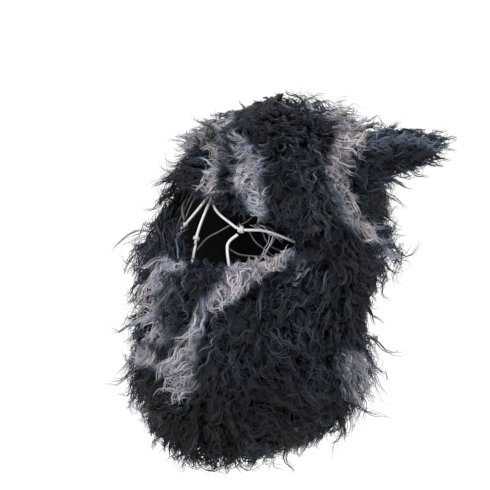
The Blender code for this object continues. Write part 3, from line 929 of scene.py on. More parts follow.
def dark_tone(points):
    """The tone of the pile where it is charcoal: cloudy, darker towards the hem, painted shade at the far
    corner.
    """
    low = smoothstep((LOW_FROM - points[:, 2]) / TONE_FADE)
    high = smoothstep((points[:, 2] - HIGH_FROM) / TONE_FADE)
    cloud = WIDE_CLOUD * wander(points, WIDE_CLOUD_SIZE, 8)
    cloud = cloud + SMALL_CLOUD * wander(points, SMALL_CLOUD_SIZE, 9)
    # Painted shade, nearly black, round the slot's far corner
    turn, height = SHADED_CORNER
    corner = hood_point(math.radians(turn), down_at_height(height * MM), BACKING)
    black = 1 - smoothstep(np.linalg.norm(points - corner, axis=1) / SHADED_CORNER_REACH * 2 - 1)
    return CHARCOAL_TONE + cloud + HIGH_TONE * high + LOW_TONE * low + CORNER_PAINTED_SHADE * black


def pale_tone(points):
    """The tone of the pile where it is bleached."""
    return PALE_TONE + PALE_CLOUD * wander(points, PALE_CLOUD_SIZE, 10)


def cast_of(points, light, rng):
    """Which cast of the dye each lock has taken."""
    count = len(points)
    chance = rng.random(count)
    rows = np.full(count, CAST_ROW["charcoal"])
    from_plum = (points[:, 2] - PLUM_HEIGHT) / PLUM_SIZE
    plum = wander(points, PLUM_SIZE, 12) + PLUM_GAIN * np.exp(-(from_plum**2))
    rows[(plum > 1.0) & (chance < PLUM_CHANCE)] = CAST_ROW["plum"]
    low = smoothstep((EARTHY_HEIGHT - points[:, 2]) / EARTHY_FADE)
    rows[chance < UMBER_CHANCE * low] = CAST_ROW["umber"]
    mossy = wander(points, MOSS_SIZE, 14) > MOSS_LEVEL
    rows[mossy & (chance < MOSS_CHANCE * low)] = CAST_ROW["moss"]
    tinged, pale = light > TINGED, light > PALE
    rows[tinged & (chance < STEEL_CHANCE)] = CAST_ROW["steel"]
    warm = wander(points, WARM_SIZE, 15)
    rows[pale & (chance < ROSE_CHANCE + ROSE_WARMER * warm)] = CAST_ROW["rose"]
    rows[pale & (chance > 1 - CREAM_CHANCE - CREAM_WARMER * warm)] = CAST_ROW["cream"]
    return rows


# The part of the chart that is used: its ends across, and the edge of each row that is left free
CHART_ENDS = (0.01, 0.98)
ROW_EDGE = 0.05


def chart_places(tone, row, along):
    """Places in the pile's chart: tone across, and up it a row for each cast with the way along."""
    up = (row + ROW_EDGE + (1 - 2 * ROW_EDGE) * along) / len(CASTS)
    return np.stack((np.clip(tone, *CHART_ENDS), up), -1)


def dyed_and_shaded_backing_map(points, faces):
    """The chart places of a backing's corners, whose faces each keep to one row."""
    light = bleached(points)
    # The underfur lies under the locks and is painted in shade: a share of the charcoal's tone, darker where
    # bleached
    tone = mix(UNDERFUR_SHADED_SHARE * dark_tone(points), pale_tone(points) - UNDERFUR_PAINTED_SHADE, light)
    rows = cast_of(points, light, np.random.default_rng(17))
    face_row = np.concatenate([np.repeat(rows[f[:, 0]], f.shape[1]) for f in faces])

    def places(corners):
        return chart_places(tone[corners], face_row, UNDERFUR_SHADE_WAY)

    return places


def add_backing(material):
    """The dense short fur at the roots of the pile, tufted, between the cloth and the locks."""
    angle, down, cloth = hood_grid(*BACKING_GRID)
    plain = hood_point(angle, down, BACKING)
    tufts = 0.5 + 0.5 * np.clip(wander(plain, TUFT_SIZE, 21), -1, 1)
    points, faces = shell(angle, down, cloth, WALL + GAP, BACKING - TUFT_DEPTH * tufts)
    obj = mesh_object("underfur", points, faces, material, dyed_and_shaded_backing_map(points, faces))
    return ride_as(obj, "pile", "hood_pile")


# The ears' own backing

EAR_COLUMNS = 36
EAR_ROWS = 22
EAR_TUFT_SIZE = 8 * MM
EAR_TUFT_DEPTH = 0.8 * MM
EAR_TIP = 5 * MM
SEAT_TRIES = np.linspace(0, 0.9, 91)


def backing_tree():
    """A tree of the faces that the ears are seated on: the backing's outer face, one gap larger."""
    angle, down, cloth = hood_grid(*SEAT_GRID)
    points, faces = shell(angle, down, np.ones_like(cloth), 0.0, BACKING + GAP)
    quads, fan = faces[:2]
    return BVHTree.FromPolygons(points.tolist(), quads.tolist() + fan.tolist())


def height_over(tree, points):
    """How far points stand over the nearest face of a tree, less than 0 behind it."""
    heights = []
    for point in points:
        spot, normal, _, _ = tree.find_nearest(Vector(point))
        heights.append((Vector(point) - spot).dot(normal))
    return np.array(heights)


def seat_places(ear, tree, turns):
    """How far along an ear its face comes out of the hood's backing, at each turn round it."""
    seats = []
    for turn in turns:
        heights = height_over(tree, ear_point(ear, SEAT_TRIES, turn))
        inside = np.nonzero(heights < 0)[0]
        seats.append(SEAT_TRIES[min(inside[-1] + 1, len(SEAT_TRIES) - 1)] if len(inside) else 0.0)
    return np.array(seats)


def add_ear(ear, seats, turns, material):
    """An ear's backing as one closed form, from its seat on the hood to its rounded tip."""
    share = np.linspace(0, 1, EAR_ROWS)
    t = mix(seats[:, None], 1, share)
    grid = ear_point(ear, t, turns[:, None])
    tufts = wander(grid, EAR_TUFT_SIZE, 27)[..., None] * EAR_TUFT_DEPTH
    middle, along, _, _ = ear_axes(ear, t)
    grid = grid + unit(grid - middle) * (tufts - 1 * MM)
    tip = grid[:, -1].mean(0) + along[0, 0] * EAR_TIP
    root = grid[:, 0].mean(0)
    number, beside, quads = ringed_grid(*t.shape)
    last = number.size
    tips = np.stack((number[:, -1], np.full(len(number), last), beside[:, -1]), -1)
    roots = np.stack((beside[:, 0], np.full(len(number), last + 1), number[:, 0]), -1)
    faces = [quads.reshape(-1, 4), tips, roots]
    if ear.side < 0:
        faces = [f[:, ::-1] for f in faces]
    points = np.concatenate((grid.reshape(-1, 3), [tip, root]))
    obj = mesh_object("underfur_" + ear.name, points, faces, material, dyed_and_shaded_backing_map(points, faces))
    return ride_as(obj, "pile", ear.name)


# The pile's locks. A real fibre is about 0.05 mm thick. Each strand here stands for a curl of many, so it is
# coarser. Lifts, wave and hook are in degrees

Style = namedtuple(
    "Style",
    "strands segments sides groove flat spread radius taper lift_root lift_tip wave turns hook gather",
)
LOCK = Style(strands=5, segments=8, sides=3, groove=1, flat=1, spread=2.9 * MM, radius=0.46 * MM,
             taper=1.6, lift_root=62, lift_tip=3, wave=70, turns=1.8, hook=200, gather=0.88)
WISP = LOCK._replace(radius=0.6 * MM, lift_root=60, lift_tip=26, wave=45, turns=1.2, hook=250, gather=0.97)
FILL = Style(strands=1, segments=5, sides=6, groove=0.72, flat=0.5, spread=0.5 * MM, radius=2.3 * MM,
             taper=1.5, lift_root=46, lift_tip=4, wave=50, turns=1.0, hook=110, gather=0)
LIP = LOCK._replace(segments=5, radius=0.48 * MM, turns=0.9)
CORNER = FILL._replace(radius=2.0 * MM, lift_root=26, lift_tip=0, wave=55, turns=1.1, hook=70)

# The layers of the hood's pile, of which the ears take a share, and the fringe of its neck
Layer = namedtuple("Layer", "kind style count length")
LAYERS = (
    Layer("locks", LOCK, 1900, 40 * MM),
    Layer("wisps", WISP, 140, 40 * MM),
    Layer("fill", FILL, 2300, 25 * MM),
)
NECK_FRINGE = (
    Layer("locks", WISP, 190, 36 * MM),
    Layer("fill", FILL, 420, 32 * MM),
)
EAR_SHARE = 0.085
EAR_LENGTH_SHARE = 0.64

# Roots: the fine grid that they are dealt out on, how far they stray from even places, how deep in the
# backing they are, how much denser at the crown and to what depth, and the share of locks that are wisps
ROOT_GRID = (360, 220)
ROOT_STEP = 0.002
ROOT_ENDS = (0.004, 0.996)
ROOT_SCATTER = 0.3
ROOT_SUNK = 1.5 * MM
CROWN_DENSER = 0.35
DENSER_DEPTH = 90 * MM
WISP_SHARE = 0.05

# Parts of the hood whose locks differ: the depth of the crown, the place of its apex behind the seat and its
# reach, the breadth of the left side of the brow, and where the hem starts
CROWN_DEPTH = 50 * MM
APEX_PLACE, APEX_REACH = 8 * MM, 30 * MM
BROW_BREADTH = 40 * MM
HEM_START = 0.88

# Shares of a lock's length and of its lift, by chance, for a wisp and on those parts of the hood. Fullness
# adds to the lift by a power
LENGTH_CHANCE = 0.22
WISP_LENGTH = 1.15
CROWN_LENGTH = 0.9
WISP_LIFT = 1.35
APEX_LIFT = 0.85
BROW_LIFT = 1.3
HEM_LIFT = 0.75
FULLNESS_LIFT = 0.3

# The fringe of the slot, with lengths and insets in millimetres. At the far corner its upper side is trimmed
LIP_LOCKS = 380
LIP_REACH = 1.12
UPPER_LIP_SHARE = 0.45
UPPER_LIP_LENGTHS = (9, 17)
LOWER_LIP_LENGTHS = (9, 14)
LOWER_LIP_HANG = 22 * MM
LIP_INSET = 3
UPPER_LIP_LIFT = 0.4
LOWER_LIP_LIFT = 0.75
FAR_TRIM = math.radians(38)
FAR_TRIM_START = 0.2
FAR_TRIM_KEPT = 0.25

# The locks over the slot's far corner, between two turns in degrees. They shorten towards the nearer one,
# and their inset is in millimetres
CORNER_LOCKS = 175
CORNER_TURNS = (-50, 3)
CORNER_TOP = -99 * MM
CORNER_FADE = math.radians(5)
CORNER_INSET = 5
CORNER_LEAST = 4 * MM
CORNER_LENGTHS = (0.5, 1.15)
CORNER_LIFTS = (0.2, 1.6)

# The neck's fringe: how far down the hood it starts, shares of its length, and its lift
NECK_START = 0.985
NECK_LENGTHS = (0.7, 1.1)
NECK_LIFT = 0.4

# The ears' locks: the tries for each, how dense they are at the tip, how far the root reaches, how much they
# stream and fall there, the chance in their length, the lift of a wisp and of another lock, and the step
# over which the direction of an ear's face is taken
EAR_TRIES = 6
EAR_TIP_DENSITY = 0.4
EAR_ROOT_REACH = 0.5
EAR_ROOT_STREAM = 0.1
EAR_ROOT_FALL = 0.5
EAR_LENGTH_CHANCE = (-0.2, 0.25)
EAR_WISP_LIFT = 1.2
EAR_LIFT = 0.75
EAR_STEP = 0.01

# How far fur may pass the solids' box, how proud of the cloth it is taken to be where it is kept out of the
# slot, and the least share that is kept of a lock
FUR_REACH = 8 * MM
SLOT_FUR_OFFSET = 16 * MM
LEAST_KEPT = 0.3

# How far the fill's ridges twist from ring to ring, how much every strand thins to its tip, and low and high
# shares of its style's thickness
FILL_TWIST = 0.2
TIP_TAPER = 0.92
THICKNESS_CHANCE = (0.7, 1.25)

# What is added to a strand's tone: painted shade in the fill, which lies under the locks, a painted
# highlight on its ridges and painted shade in its grooves, painted light at pale roots for light that passes
# through pale fibres, and by chance, with painted highlights on a chance share of strands. Each facet of a
# strand has its own breadth of the chart
FILL_PAINTED_SHADE = 0.05
RIDGE_PAINTED_HIGHLIGHT = 0.02
GROOVE_PAINTED_SHADE = -0.06
PALE_ROOT_PAINTED_LIGHT = 0.1
OWN_TONE = 0.05
FACET_TONE = 0.03
STRAY_PAINTED_HIGHLIGHT = 0.1
STRAY_HIGHLIGHT_SHARE = 0.18
CHART_WIDTH = 0.006

# How much of the bleach a strand takes up, how much less the poor ones do, and their share
UPTAKE = (0.85, 1.05)
POOR_UPTAKE = 0.5
POOR_UPTAKE_SHARE = 0.06

# How locks differ: low and high shares of their style's values, degrees for the lift of the tip, and the way
# along a lock where its hook starts. A hook tightens by a power
TURNS_CHANCE = (0.7, 1.4)
WAVE_CHANCE = (0.5, 1.25)
LIFT_CHANCE = (0.7, 1.15)
TIP_LIFT_CHANCE = (-8, 14)
HOOK_START = (0.45, 0.75)
HOOK_LIFT = (-0.1, 0.3)
HOOK_TIGHTENS = 1.3

# How the strands of one lock differ, how much of its wave is up and down, its lowest lift in degrees, and
# the way along it where its lift has settled
PHASE_SPREAD = 0.08
WAVE_SPREAD = 0.14
HOOK_SPREAD = 0.25
LIFT_SPREAD = 4
LENGTH_SPREAD = 0.12
WAVE_LIFT = 0.4
LOWEST_LIFT = -12
SETTLED = 0.6

# Swirls of the fur in degrees: wide and small ones and the ears' with their sizes, and each lock's own
WIDE_SWIRL, WIDE_SWIRL_SIZE = 50, 70 * MM
SMALL_SWIRL, SMALL_SWIRL_SIZE = 35, 24 * MM
EAR_SWIRL, EAR_SWIRL_SIZE = 24, 25 * MM
OWN_SWIRL = 18
CROWN_SWIRL = 45
LIP_SWIRL = 38
CORNER_SWIRL = 18
HEM_SWIRL = 25
EAR_TIP_SWIRL = 14
EAR_ROOT_SWIRL = 40

Locks = namedtuple("Locks", "root out flow length lift")


def turned(flow, out, degrees):
    """Directions in the face, swung about the outward direction."""
    swing = np.radians(degrees)[:, None]
    return flow * np.cos(swing) + np.cross(out, flow) * np.sin(swing)


def strand_paths(locks, style, rng):
    """Curly paths, (locks, strands, points, 3): a lock waves as one, and its strands gather at its tip."""
    count = len(locks.root)
    shape = (count, style.strands, 1)

    def lock_chance(low, high):
        return rng.uniform(low, high, (count, 1, 1))

    def strand_chance(spread):
        return rng.uniform(-spread, spread, shape)

    s = (np.arange(style.segments) + 0.5) / style.segments
    phase = lock_chance(0, 1) + strand_chance(PHASE_SPREAD)
    curl = math.tau * (style.turns * lock_chance(*TURNS_CHANCE) * s + phase)
    wave = style.wave * lock_chance(*WAVE_CHANCE) * (1 + strand_chance(WAVE_SPREAD))
    hook_start = lock_chance(*HOOK_START)
    bend = np.clip((s - hook_start) / (1 - hook_start), 0, 1) ** HOOK_TIGHTENS
    hook = style.hook * lock_chance(-1, 1) * (1 + strand_chance(HOOK_SPREAD))
    swing = np.radians(wave * np.sin(curl) + hook * bend)
    settled = np.minimum(s / SETTLED, 1)
    root_lift = style.lift_root * lock_chance(*LIFT_CHANCE)
    lift = mix(root_lift, style.lift_tip + lock_chance(*TIP_LIFT_CHANCE), settled)
    lift = lift * locks.lift[:, None, None] + strand_chance(LIFT_SPREAD)
    lift = lift + WAVE_LIFT * wave * settled * np.cos(curl)
    lift = np.radians(np.maximum(lift, LOWEST_LIFT) + style.hook * lock_chance(*HOOK_LIFT) * bend)
    out, flow = (v[:, None, None, :] for v in (locks.out, locks.flow))
    side = np.cross(out, flow)
    heading = np.cos(lift)[..., None] * (np.cos(swing)[..., None] * flow + np.sin(swing)[..., None] * side)
    heading = heading + np.sin(lift)[..., None] * out
    length = locks.length[:, None, None] * (1 + strand_chance(LENGTH_SPREAD))
    steps = heading * (length / style.segments)[..., None]
    rise = np.concatenate((np.zeros(steps.shape[:2] + (1, 3)), np.cumsum(steps, 2)), 2)
    round_root = rng.uniform(0, math.tau, shape)
    spread = style.spread * np.sqrt(rng.random(shape))
    start = (spread * np.cos(round_root))[..., None] * flow + (spread * np.sin(round_root))[..., None] * side
    shares = np.linspace(0, 1, style.segments + 1)[:, None]
    return locks.root[:, None, None] + start * (1 - style.gather * shares) + rise


def kept_in_place(locks, style, seed, clear_of_slot=True):
    """The locks' paths, grown again shorter where they would cross the slot or leave the hood's reach."""
    low, high = (np.array(corner) for corner in CAD_BOX)
    for _ in range(2):
        paths = strand_paths(locks, style, np.random.default_rng(seed))
        blocked = ((paths < low - FUR_REACH) | (paths > high + FUR_REACH)).any(-1)
        if clear_of_slot:
            blocked |= in_slot(paths, SLOT_FUR_OFFSET)
        blocked = blocked.any(1)
        first = np.where(blocked.any(1), blocked.argmax(1), style.segments)
        kept = np.maximum(first - 0.5, LEAST_KEPT * style.segments) / style.segments
        share = np.where(blocked.any(1), kept, 1.0)
        locks = locks._replace(length=locks.length * share)
    return strand_paths(locks, style, np.random.default_rng(seed))


# Where the pile stands fuller or lies flatter: turns in degrees, heights and reaches in millimetres
MOST_FULL = 1.45
Fullness = namedtuple("Fullness", "turn height reach gain")
FULLNESS = (
    Fullness(-64, -84, 22, 1.45),
    Fullness(-50, -106, 24, 1.45),
    Fullness(-47, -140, 20, 1.6),
    Fullness(-45, -164, 12, 1.3),
    Fullness(130, -113, 20, 1.5),
    Fullness(128, -222, 32, 1.4),
    Fullness(95, -2, 26, 1.3),
    Fullness(-60, -28, 26, 0.6),
    Fullness(132, -66, 26, 0.55),
    Fullness(132, -156, 30, 0.7),
    Fullness(-50, -188, 18, 0.65),
    Fullness(-80, -12, 28, 0.6),
    Fullness(138, -84, 18, 0.65),
    Fullness(-55, -12, 26, 0.6),
    Fullness(118, -262, 12, 1.5),
    Fullness(-12, -298, 30, 0.68),
    Fullness(100, -292, 26, 0.7),
    Fullness(25, -298, 34, 1.45),
)


def fullness(points):
    """How much longer the pile is at points than it is over most of the hood."""
    gain = np.ones(len(points))
    for row in FULLNESS:
        place = hood_point(math.radians(row.turn), down_at_height(row.height * MM), BACKING)
        near = 1 - smoothstep(np.linalg.norm(points - place, axis=1) / (row.reach * MM) - 0.5)
        gain = gain * mix(1, row.gain, near)
    return np.minimum(gain, MOST_FULL)


def hood_roots(count, rng):
    """Roots spread evenly over the hood's backing, clear of the slot and of the ears."""
    columns, rows = ROOT_GRID
    step = ROOT_STEP
    fine_angle = np.linspace(-math.pi, math.pi, columns + 1)[:-1] + math.pi / columns
    fine_down = np.linspace(*ROOT_ENDS, rows)
    angle, down = np.meshgrid(fine_angle, fine_down, indexing="ij")
    across = hood_point(angle + step, down, BACKING) - hood_point(angle - step, down, BACKING)
    along = hood_point(angle, np.minimum(down + step, 1), BACKING) - hood_point(angle, down - step, BACKING)
    area = np.linalg.norm(np.cross(across, along), axis=-1)
    upper, lower = slot_heights(angle)
    height = profile("height", down)
    area[(np.abs(angle) < SLOT_HALF_ANGLE) & (height < upper) & (height > lower)] = 0
    area *= 1 + CROWN_DENSER * (1 - smoothstep(-height / DENSER_DEPTH))
    shares = even_shares(count, rng.random(2))
    shares = (shares + rng.normal(size=(count, 2)) * ROOT_SCATTER / math.sqrt(count)) % 1.0
    column = np.searchsorted(np.cumsum(area.sum(1)) / area.sum(), shares[:, 0]).clip(0, columns - 1)
    filled = np.cumsum(area, 1)[column]
    row = (filled < shares[:, 1:] * filled[:, -1:]).sum(1).clip(0, rows - 1)
    angle = fine_angle[column] + rng.uniform(-0.5, 0.5, count) * math.tau / columns
    down = np.clip(fine_down[row] + rng.uniform(-0.5, 0.5, count) / rows, ROOT_ENDS[0], 1)
    root = hood_point(angle, down, BACKING - ROOT_SUNK)
    out, fall = directions(angle, down)
    clear = ~np.any([inside_ear(ear, root + out * 3 * MM) for ear in EARS], 0)
    return root[clear], out[clear], fall[clear], angle[clear], down[clear]


def hood_locks(count, length, rng):
    """Locks over the hood, which fall from the crown down and swirl in loose clumps."""
    root, out, fall, angle, down = hood_roots(count, rng)
    crown = 1 - smoothstep(-root[:, 2] / CROWN_DEPTH)
    apex = 1 - smoothstep(np.hypot(root[:, 0], root[:, 1] - APEX_PLACE) / APEX_REACH)
    left_brow = crown * smoothstep(root[:, 0] / BROW_BREADTH)
    swirl = WIDE_SWIRL * wander(root, WIDE_SWIRL_SIZE, 41) + SMALL_SWIRL * wander(root, SMALL_SWIRL_SIZE, 42)
    swirl = swirl + rng.normal(size=len(root)) * OWN_SWIRL
    swirl = swirl + crown * rng.normal(size=len(root)) * CROWN_SWIRL
    swirl = swirl + apex * rng.uniform(-180, 180, len(root))
    flow = turned(fall, out, swirl)
    hem = smoothstep((down - HEM_START) / (1 - HEM_START))
    own_length = 1 + rng.uniform(-LENGTH_CHANCE, LENGTH_CHANCE, len(root))
    length = length * own_length * mix(1, CROWN_LENGTH, crown)
    wisps = (rng.random(len(root)) < WISP_SHARE) & (crown < 0.5)
    lift = np.where(wisps, WISP_LIFT, 1.0) * mix(1, APEX_LIFT, apex)
    lift = lift * mix(1, BROW_LIFT, left_brow) * mix(1, HEM_LIFT, hem)
    full = fullness(root)
    length = np.where(wisps, length * WISP_LENGTH, length) * full
    return Locks(root, out, flow, length, lift * full**FULLNESS_LIFT), angle, down


def far_trim(angle):
    """How much of its length the fringe of the upper lip keeps: it is trimmed close at the far corner."""
    return mix(FAR_TRIM_KEPT, 1, smoothstep((angle + SLOT_HALF_ANGLE) / FAR_TRIM - FAR_TRIM_START))


def lip_locks(rng):
    """Short locks along the slot's lips: the upper and half of the lower ones fall, the others stand up."""
    count = LIP_LOCKS
    is_upper = rng.random(count) < UPPER_LIP_SHARE
    angle = rng.uniform(-LIP_REACH, LIP_REACH, count) * SLOT_HALF_ANGLE
    upper, lower = slot_heights(angle)
    inset = rng.uniform(0, LIP_INSET, count) * MM
    down = down_at_height(np.where(is_upper, upper + inset, lower - inset))
    root = hood_point(angle, down, rng.uniform(WALL, BACKING, count))
    out, fall = directions(angle, down)
    over = np.where(is_upper | (rng.random(count) < 0.5), 1, -1)
    flow = turned(fall * over[:, None], out, rng.normal(size=count) * LIP_SWIRL)
    above = rng.uniform(*UPPER_LIP_LENGTHS, count) * far_trim(angle)
    length = np.where(is_upper, above, rng.uniform(*LOWER_LIP_LENGTHS, count)) * MM
    length = np.where(~is_upper & (over > 0), LOWER_LIP_HANG, length)
    return Locks(root, out, flow, length, np.where(is_upper, UPPER_LIP_LIFT, LOWER_LIP_LIFT))


def corner_locks(rng):
    """Locks that stand up over the lower lip towards the slot's far corner and half close it."""
    angle = np.radians(rng.uniform(*CORNER_TURNS, CORNER_LOCKS))
    _, lower = slot_heights(angle)
    inset = rng.uniform(0, CORNER_INSET, CORNER_LOCKS) * MM
    root = hood_point(angle, down_at_height(lower - inset), rng.uniform(WALL, BACKING, CORNER_LOCKS))
    out, fall = directions(angle, down_at_height(lower))
    flow = turned(-fall, out, rng.normal(size=CORNER_LOCKS) * CORNER_SWIRL)
    rise = (CORNER_TOP - lower) * smoothstep((CORNER_FADE - angle) / (2 * CORNER_FADE))
    length = (rise + CORNER_LEAST) * rng.uniform(*CORNER_LENGTHS, CORNER_LOCKS)
    return Locks(root, out, flow, length, rng.uniform(*CORNER_LIFTS, CORNER_LOCKS))


def hem_locks(count, length, rng):
    """Locks round the neck's edge, which hang below it as an uneven fringe."""
    angle = (np.arange(count) + rng.random(count)) / count * math.tau - math.pi
    down = rng.uniform(NECK_START, 1, count)
    root = hood_point(angle, down, rng.uniform(WALL, BACKING, count))
    out, fall = directions(angle, down)
    flow = turned(fall, out, rng.normal(size=count) * HEM_SWIRL)
    length = length * rng.uniform(*NECK_LENGTHS, count) * fullness(root)
    return Locks(root, out, flow, length, np.full(count, NECK_LIFT))


def ear_locks(ear, seats, turns, count, length, rng):
    """Locks over an ear, which swirl at its root and stream to past its tip."""
    tries = count * EAR_TRIES
    shares = even_shares(tries, rng.random(2))
    turn = math.tau * shares[:, 0]
    seat = np.interp(turn, np.append(turns, math.tau), np.append(seats, seats[0]))
    t = mix(seat, 1, shares[:, 1])
    slender = mix(*EAR_HALF_THICKNESS, t) / mix(*EAR_HALF_HEIGHT, t)
    density = mix(1.0, EAR_TIP_DENSITY, t) * np.hypot(np.sin(turn), slender * np.cos(turn))
    keep = rng.random(tries) < density
    turn, t, seat = turn[keep][:count], t[keep][:count], seat[keep][:count]
    root = ear_point(ear, t, turn)
    middle, along, _, _ = ear_axes(ear, t)
    round_it = ear_point(ear, t, turn + EAR_STEP) - ear_point(ear, t, turn - EAR_STEP)
    out = unit(np.cross(round_it, ear_point(ear, t + EAR_STEP, turn) - ear_point(ear, t, turn)))
    out = out * np.sign(np.sum(out * (root - middle), -1, keepdims=True))
    at_root = 1 - smoothstep((t - seat) / EAR_ROOT_REACH)
    fall = mix(ear.fall, EAR_ROOT_FALL, at_root)
    droop = along * mix(1, EAR_ROOT_STREAM, at_root)[:, None] - np.outer(fall, (0, 0, 1))
    droop = unit(droop - out * np.sum(droop * out, -1, keepdims=True))
    swirl = EAR_SWIRL * wander(root, EAR_SWIRL_SIZE, 44)
    swirl = swirl + rng.normal(size=len(root)) * mix(EAR_TIP_SWIRL, EAR_ROOT_SWIRL, at_root)
    own_length = 1 + rng.uniform(*EAR_LENGTH_CHANCE, len(root))
    length = length * mix(EAR_LENGTH_SHARE, 1.0, at_root) * own_length
    flatter = np.minimum(fullness(root), 1)
    length = length * flatter * mix(1, ear.crest, np.maximum(out[:, 2], 0) * (1 - t))
    lift = np.where(rng.random(len(root)) < WISP_SHARE, EAR_WISP_LIFT, EAR_LIFT) * flatter
    return Locks(root - out * ROOT_SUNK, out, turned(droop, out, swirl), length, lift)


def pile_tones(paths, darker, rng):
    """The tone of each strand's points, with a charcoal of its own, and the cast of each lock."""
    locks, strands = paths.shape[:2]
    middles = paths[:, :, paths.shape[2] // 2].mean(1)
    light = bleached(paths.reshape(-1, 3)).reshape(paths.shape[:3])
    each = (locks, strands)
    own = rng.normal(size=(locks, 1)) * OWN_TONE + rng.normal(size=each) * OWN_TONE
    # A chance share of strands is painted lighter all along, as painted highlights on the curls
    stray = STRAY_PAINTED_HIGHLIGHT * (rng.random(each) < STRAY_HIGHLIGHT_SHARE)
    uptake = rng.uniform(*UPTAKE, each) - POOR_UPTAKE * (rng.random(each) < POOR_UPTAKE_SHARE)
    dark = (dark_tone(middles)[:, None] + own + stray - darker)[..., None]
    at_root = 1 - np.linspace(0, 1, paths.shape[2])
    # Painted light at pale roots, for light that passes through the pale fibres
    pale = (pale_tone(middles)[:, None] + 0.5 * own)[..., None] + PALE_ROOT_PAINTED_LIGHT * at_root
    rows = cast_of(middles, light.mean((1, 2)), rng)
    return mix(dark, pale, light * uptake[..., None]), rows


def add_pile(name, paths, style, rng, material, *nodes):
    """One piece of the pile: tapering strands along the paths."""
    grooved = style.groove < 1
    # The fill, which lies under the locks, is given painted shade
    tone, rows = pile_tones(paths, FILL_PAINTED_SHADE if grooved else 0.0, rng)
    row = np.repeat(rows, style.strands)
    strands = paths.reshape(-1, *paths.shape[2:])
    steps = strands.shape[1]
    s = np.linspace(0, 1, steps)
    thick = style.radius * rng.uniform(*THICKNESS_CHANCE, len(strands))[:, None]
    radii = thick * (1 - TIP_TAPER * s**style.taper)
    twist = FILL_TWIST if grooved else 0.0
    points, faces = tubes(strands, radii, style.sides, style.groove, twist, style.flat)
    tone = tone.ravel()
    facet = np.arange(style.sides)
    # Painted highlight on a fill strand's ridges and painted shade in its grooves
    ridges = np.where(facet % 2, GROOVE_PAINTED_SHADE, RIDGE_PAINTED_HIGHLIGHT) if grooved else 0.0
    across = ridges + rng.normal(size=(len(strands), style.sides)) * FACET_TONE + facet * CHART_WIDTH

    def places(corners):
        ring, side = np.divmod(corners, style.sides)
        strand, step = np.divmod(ring, steps)
        return chart_places(tone[ring] + across[strand, side], row[strand], step / (steps - 1))

    return ride_as(mesh_object(name, points, faces, material, places), "pile", *nodes)


# The pile's pieces: the crown, and six sectors round the hood below it
CROWN_REACH = 0.27
SECTORS = ("front", "front_left", "back_left", "back", "back_right", "front_right")


def add_hood_pile(material):
    """The hood's locks, with one piece of each layer for the crown and for each sector."""
    groups = []
    for seed, (kind, style, count, length) in enumerate(LAYERS, start=61):
        locks, angle, down = hood_locks(count, length, np.random.default_rng(seed))
        paths = kept_in_place(locks, style, seed + 10)
        sector = np.floor(folded(angle + math.pi / 6) / (math.pi / 3)).astype(int) % len(SECTORS)
        part = np.where(down < CROWN_REACH, len(SECTORS), sector)
        groups.append((kind, style, paths, part))
    for k, name in enumerate(SECTORS + ("crown",)):
        for kind, style, paths, part in groups:
            rng = np.random.default_rng(80 + k)
            add_pile(f"{kind}_{name}", paths[part == k], style, rng, material, "hood_pile")
    lips = kept_in_place(lip_locks(np.random.default_rng(90)), LIP, 91, clear_of_slot=False)
    add_pile("slot_fringe", lips, LIP, np.random.default_rng(92), material, "hood_pile")
    corner = kept_in_place(corner_locks(np.random.default_rng(97)), CORNER, 98, clear_of_slot=False)
    add_pile("slot_corner_fringe", corner, CORNER, np.random.default_rng(99), material, "hood_pile")
    for kind, style, count, length in NECK_FRINGE:
        hems = kept_in_place(hem_locks(count, length, np.random.default_rng(94)), style, 95)
        add_pile("neck_fringe_" + kind, hems, style, np.random.default_rng(96), material, "hood_pile")


# Light and surroundings

ROOM_LIGHT = 1.06
FLOOR_HALF = 30.0
FLOOR_DROP = 1.4


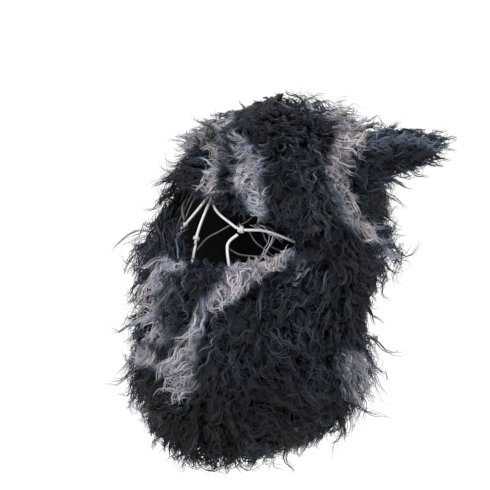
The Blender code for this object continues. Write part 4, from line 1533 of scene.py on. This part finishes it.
def add_lamp(name, place, size, power, colour):
    """A round soft lamp at a place from the hood's middle, turned towards it."""
    data = bpy.data.lights.new(name, "AREA")
    data.shape = "DISK"
    data.size = size
    data.energy = power
    data.color = linear(colour)[:3]
    lamp = bpy.data.objects.new(name, data)
    lamp.location = HOOD_MIDDLE + place
    lamp.rotation_euler = (-place).to_track_quat("-Z", "Y").to_euler()
    bpy.context.scene.collection.objects.link(lamp)


def add_studio(right, up, back):
    """A white room: even light, a large soft key at the upper left and a weaker one at the right."""
    world = bpy.data.worlds.new("white_studio")
    world.use_nodes = True
    background = world.node_tree.nodes["Background"]
    background.inputs["Color"].default_value = (1, 1, 1, 1)
    background.inputs["Strength"].default_value = ROOM_LIGHT
    bpy.context.scene.world = world
    bpy.context.scene.view_settings.view_transform = "Standard"
    add_lamp("key", back * 1.0 - right * 0.9 + up * 1.1, size=0.9, power=26, colour="fffdf8")
    add_lamp("fill", back * 0.8 + right * 1.3 + up * 0.4, size=1.0, power=12, colour="f6f9ff")
    square = np.array([(-1, -1, 0), (1, -1, 0), (1, 1, 0), (-1, 1, 0)])
    corners = square * FLOOR_HALF - (0, 0, FLOOR_DROP)
    floor = mesh_object("floor", corners, [np.arange(4)[None]], plain_material("pale_floor", "fbfbfb", 0.9))


def main():
    right, up, back = add_camera()
    bright = cord_material("white_waxed_cord", "e2e1e6", "aeadb4", 0.3)
    # A grey copy of the white cord: painted shade for the strands deeper in the hood
    painted_shade_cord = cord_material("cord_in_painted_shade", "5a575f", "302e34", 0.5)
    add_web(bright, painted_shade_cord)
    add_frayed_threads(plain_material("frayed_white_thread", "c9c7cf", 0.55))
    add_lining(knit_material())
    pile = pile_material()
    add_backing(pile)
    tree = backing_tree()
    turns = math.tau * (np.arange(EAR_COLUMNS) + 0.5) / EAR_COLUMNS
    for k, ear in enumerate(EARS):
        seats = seat_places(ear, tree, turns)
        add_ear(ear, seats, turns, pile)
        for kind, style, count, length in LAYERS:
            rng = np.random.default_rng(50 + k)
            locks = ear_locks(ear, seats, turns, int(count * EAR_SHARE), length, rng)
            paths = kept_in_place(locks, style, 70 + k)
            add_pile(f"{kind}_{ear.name}", paths, style, rng, pile, ear.name)
    add_hood_pile(pile)
    add_studio(right, up, back)


main()
